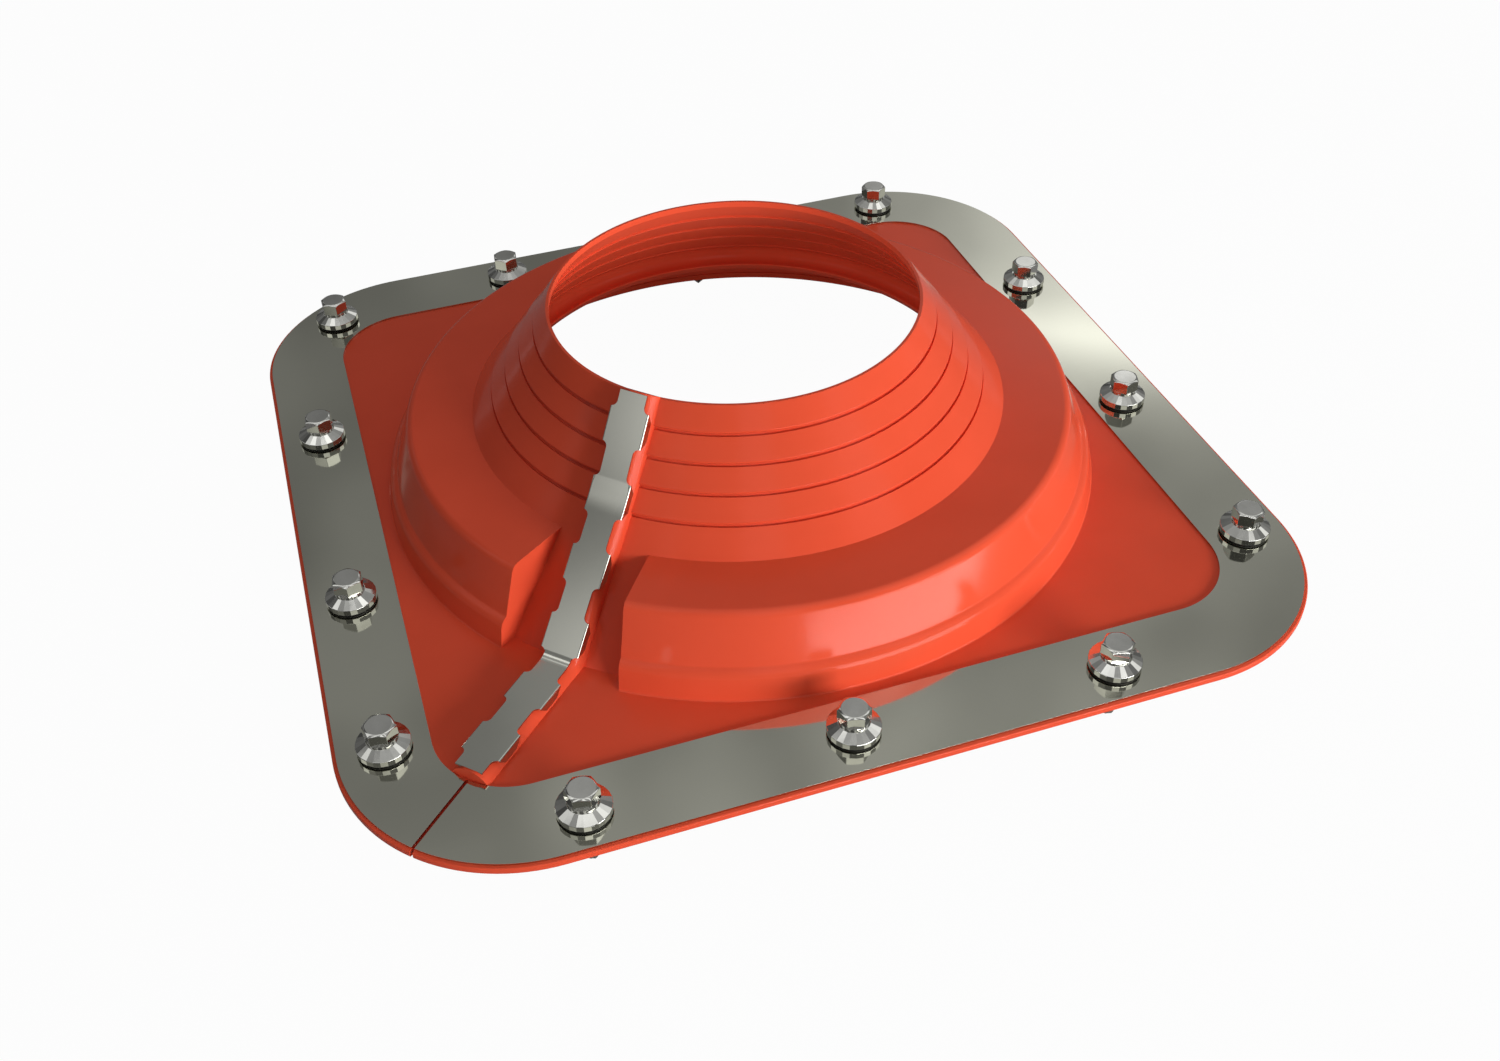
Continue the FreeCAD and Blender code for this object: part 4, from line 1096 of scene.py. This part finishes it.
# %% Floor paint
FLOOR_WHITE_SHARE = 0.97
WHITE_FROM, WHITE_AT = 1.50, 6.00
WHITE = (1.0, 1.0, 1.0, 1.0)
PALE = (0.45, 0.45, 0.45, 1.0)
floor_paint = bpy.data.materials.new("floor_paint")
floor_paint.use_nodes = True
tree = floor_paint.node_tree
tree.nodes.clear()
output = tree.nodes.new("ShaderNodeOutputMaterial")
mix = tree.nodes.new("ShaderNodeMixShader")
matt = tree.nodes.new("ShaderNodeBsdfDiffuse")
matt.inputs["Color"].default_value = PALE
glow = tree.nodes.new("ShaderNodeEmission")
glow.inputs["Color"].default_value = WHITE
path = tree.nodes.new("ShaderNodeLightPath")
away = tree.nodes.new("ShaderNodeVectorMath")
away.operation = "LENGTH"
tree.links.new(tree.nodes.new("ShaderNodeTexCoord").outputs["Object"], away.inputs[0])
open_floor = stretch(tree, away.outputs["Value"], WHITE_FROM, WHITE_AT, 0.0, 1.0)
mirrored = math_node(tree, "MAXIMUM", path.outputs["Is Glossy Ray"], path.outputs["Is Transmission Ray"])
mirrored = math_node(tree, "MULTIPLY", mirrored, open_floor)
seen = math_node(tree, "MAXIMUM", path.outputs["Is Camera Ray"], mirrored)
tree.links.new(math_node(tree, "MULTIPLY", seen, FLOOR_WHITE_SHARE), mix.inputs["Fac"])
tree.links.new(matt.outputs[0], mix.inputs[1])
tree.links.new(glow.outputs[0], mix.inputs[2])
tree.links.new(mix.outputs[0], output.inputs["Surface"])
floor.data.materials.append(floor_paint)
print("Mirrored floor turns white from", WHITE_FROM, "to", WHITE_AT, "m away")

# %% [markdown]
# The air round the studio. Bright metal only looks like metal with something dark to mirror, so the
# air is dim at the heights that the frame mirrors and brighter overhead. A photographed room could
# give this, but a few ramps over the direction of view are easier to steer and need no file.

# %% Air helpers
def ramp(tree, value, stops):
    """A number that follows another through the stops."""
    node = tree.nodes.new("ShaderNodeValToRGB")
    elements = node.color_ramp.elements
    elements[0].position, elements[1].position = stops[0][0], stops[-1][0]
    for place, level in stops[1:-1]:
        elements.new(place)
    for element, (place, level) in zip(elements, stops):
        element.color = (level, level, level, 1.0)
    tree.links.new(value, node.inputs["Fac"])
    return node.outputs["Color"]


def panel(tree, direction, azimuth, elevation, near, stops):
    """A soft round panel in the air. near is the cosine of its outer angle, and stops run from there in."""
    a, e = math.radians(azimuth), math.radians(elevation)
    towards = (math.cos(e) * math.cos(a), math.cos(e) * math.sin(a), math.sin(e))
    facing = tree.nodes.new("ShaderNodeVectorMath")
    facing.operation = "DOT_PRODUCT"
    facing.inputs[1].default_value = towards
    tree.links.new(direction, facing.inputs[0])
    return ramp(tree, stretch(tree, facing.outputs["Value"], near, 1.0, 0.0, 1.0), stops)


print("Air helpers are ready")

# %% Air by height
AIR = ((0.0, 0.18), (0.30, 0.16), (0.50, 0.18), (0.62, 0.20), (0.72, 0.24), (0.86, 0.42), (1.0, 0.60))
RIGHT_SIDE_GAIN = 0.10
world = bpy.data.worlds.new("studio_air")
bpy.context.scene.world = world
world.use_nodes = True
tree = world.node_tree
tree.nodes.clear()
output = tree.nodes.new("ShaderNodeOutputWorld")
air = tree.nodes.new("ShaderNodeBackground")
direction = tree.nodes.new("ShaderNodeTexCoord").outputs["Generated"]
split = tree.nodes.new("ShaderNodeSeparateXYZ")
tree.links.new(direction, split.inputs[0])
height = split.outputs["Z"]
level = ramp(tree, height, AIR)
level = math_node(tree, "ADD", level, stretch(tree, split.outputs["X"], 0.0, 0.35, 0.0, RIGHT_SIDE_GAIN))
print("Air at", len(AIR), "heights, brightest overhead at", AIR[-1][1])

# %% [markdown]
# Two soft panels. The photo's frame has a bright streak at its far right side and a paler left side,
# which are the room's panels mirrored. A bright panel hangs behind on the right, strongest at one
# height, and a dim one on the left is for the clip.

# %% Soft panels
BACK_PLACE, BACK_SPREAD = (56, 31), 0.97
BACK_PANEL = ((0.0, 0.0), (0.39, 0.07), (0.55, 0.30), (0.70, 0.62), (0.84, 0.88), (0.95, 1.0), (1.0, 1.0))
BACK_HEIGHTS = ((0.47, 0.50), (0.50, 0.57), (0.528, 0.68), (0.541, 1.0), (0.548, 1.2), (0.556, 0.8),
                (0.567, 0.42), (0.60, 0.10), (0.64, 0.0))
LEFT_PLACE, LEFT_SPREAD = (-161, 33), 0.985
LEFT_PANEL = ((0.20, 0.0), (0.50, 0.12), (0.75, 0.35), (0.91, 0.70), (1.0, 0.9))
back_panel = panel(tree, direction, *BACK_PLACE, BACK_SPREAD, BACK_PANEL)
back_panel = math_node(tree, "MULTIPLY", back_panel, ramp(tree, height, BACK_HEIGHTS))
left_panel = panel(tree, direction, *LEFT_PLACE, LEFT_SPREAD, LEFT_PANEL)
level = math_node(tree, "ADD", math_node(tree, "ADD", level, back_panel), left_panel)
print("Panels at azimuths", BACK_PLACE[0], "and", LEFT_PLACE[0], "degrees")

# %% [markdown]
# Strip lights. The facets of the screws and washers need light and dark neighbours to look crisp, so
# upright strips stand round the studio. They only show in the gloss, and two windows without strips
# are left open round what the frame and the clip mirror.

# %% Strip lights
STRIPS, STRIP_TURN, STRIP_LEVEL, STRIP_DARK = 7, 0.9, 0.7, -0.12
FRAME_WINDOW = ((72, 40), 0.78, ((0.0, 1.0), (0.45, 0.0), (1.0, 0.0)))
CLIP_WINDOW = ((-164, 33), 0.92, ((0.0, 1.0), (0.5, 0.0), (1.0, 0.0)))
in_gloss = tree.nodes.new("ShaderNodeLightPath").outputs["Is Glossy Ray"]
round_studio = math_node(tree, "ARCTAN2", split.outputs["Y"], split.outputs["X"])
round_studio = math_node(tree, "ADD", math_node(tree, "MULTIPLY", round_studio, STRIPS), STRIP_TURN)
strip = stretch(tree, math_node(tree, "SINE", round_studio), 0.20, 0.55, STRIP_DARK, STRIP_LEVEL)
strip = math_node(tree, "MULTIPLY", strip, stretch(tree, height, 0.40, 0.52, 0.0, 1.0))
for place, spread, stops in (FRAME_WINDOW, CLIP_WINDOW):
    strip = math_node(tree, "MULTIPLY", strip, panel(tree, direction, *place, spread, stops))
strip = math_node(tree, "MULTIPLY", strip, in_gloss)
level = math_node(tree, "MAXIMUM", math_node(tree, "ADD", level, strip), 0.0)
print("Strip lights:", STRIPS)

# %% [markdown]
# Clouds and horizon. Soft clouds in the air give the flat sheet its uneven look. The gloss sees a
# darker horizon than the matt light does, or else the cone's sides turn pale. The camera sees the air
# white, like the floor, so a low view has a white background too.

# %% Clouds and horizon
CLOUD_SCALE, CLOUD_LOW, CLOUD_HIGH = 11.0, 0.80, 1.20
HORIZON_SHADE = 0.6
clouds = stretch(tree, noise(tree, direction, CLOUD_SCALE, 1.0), 0.35, 0.65, CLOUD_LOW, CLOUD_HIGH)
level = math_node(tree, "MULTIPLY", level, clouds)
low_air = stretch(tree, height, 0.10, 0.35, HORIZON_SHADE, 0.0)
shade = math_node(tree, "SUBTRACT", 1.0, math_node(tree, "MULTIPLY", low_air, in_gloss))
level = math_node(tree, "MULTIPLY", level, shade)
to_camera = tree.nodes.new("ShaderNodeLightPath").outputs["Is Camera Ray"]
tree.links.new(math_node(tree, "MAXIMUM", level, to_camera), air.inputs["Color"])
tree.links.new(air.outputs[0], output.inputs["Surface"])
print("Nodes in the air:", len(tree.nodes))

# %% [markdown]
# The lamps. Light and highlights are set apart, so that each can be matched to the photo by itself. A
# low soft box at the front right and a sheet of light on the floor only show in the gloss: they give
# the ring's bead its highlight, because the ring's leaning wall mirrors the floor there. A broad low
# key and a weak fill on the right light the rubber and don't show in it, and a very small lamp under
# the near rim lights the far wall inside the mouth.

# %% Lamps
def lamp(name, place, target, width, height, radiance):
    """A rectangular soft box of an even radiance, at a place in mm, turned to its target."""
    data = bpy.data.lights.new(name, "AREA")
    data.shape = "RECTANGLE"
    data.size = width * MM
    data.size_y = height * MM
    data.energy = radiance * math.pi * data.size * data.size_y
    light = bpy.data.objects.new(name, data)
    bpy.context.scene.collection.objects.link(light)
    light.location = Vector(place) * MM
    light.rotation_euler = (Vector(target) - Vector(place)).to_track_quat("-Z", "Y").to_euler()
    light.visible_camera = False
    return light


ON_THE_FLOOR = FLOOR_MM + 1
highlights = [
    lamp("floor_card", (140, -466, ON_THE_FLOOR), (140, -466, 500), 304, 500, 10.5),
    lamp("standing_box", (380, -815, 125), (0, 0, 30), 760, 280, 6.0),
]
lighting = [
    lamp("key", (465, -1095, 236), (0, 0, 40), 700, 250, 22.5),
    lamp("fill", (1190, -167, 130), (0, 0, 40), 500, 250, 9.0),
    lamp("mouth_light", (15, -41, 59), (-20, 55, 48), 56, 9, 17.0),
]
for light in highlights:
    light.visible_diffuse = False
for light in lighting:
    light.visible_glossy = False
print("Lamps:", [light.name for light in highlights + lighting])
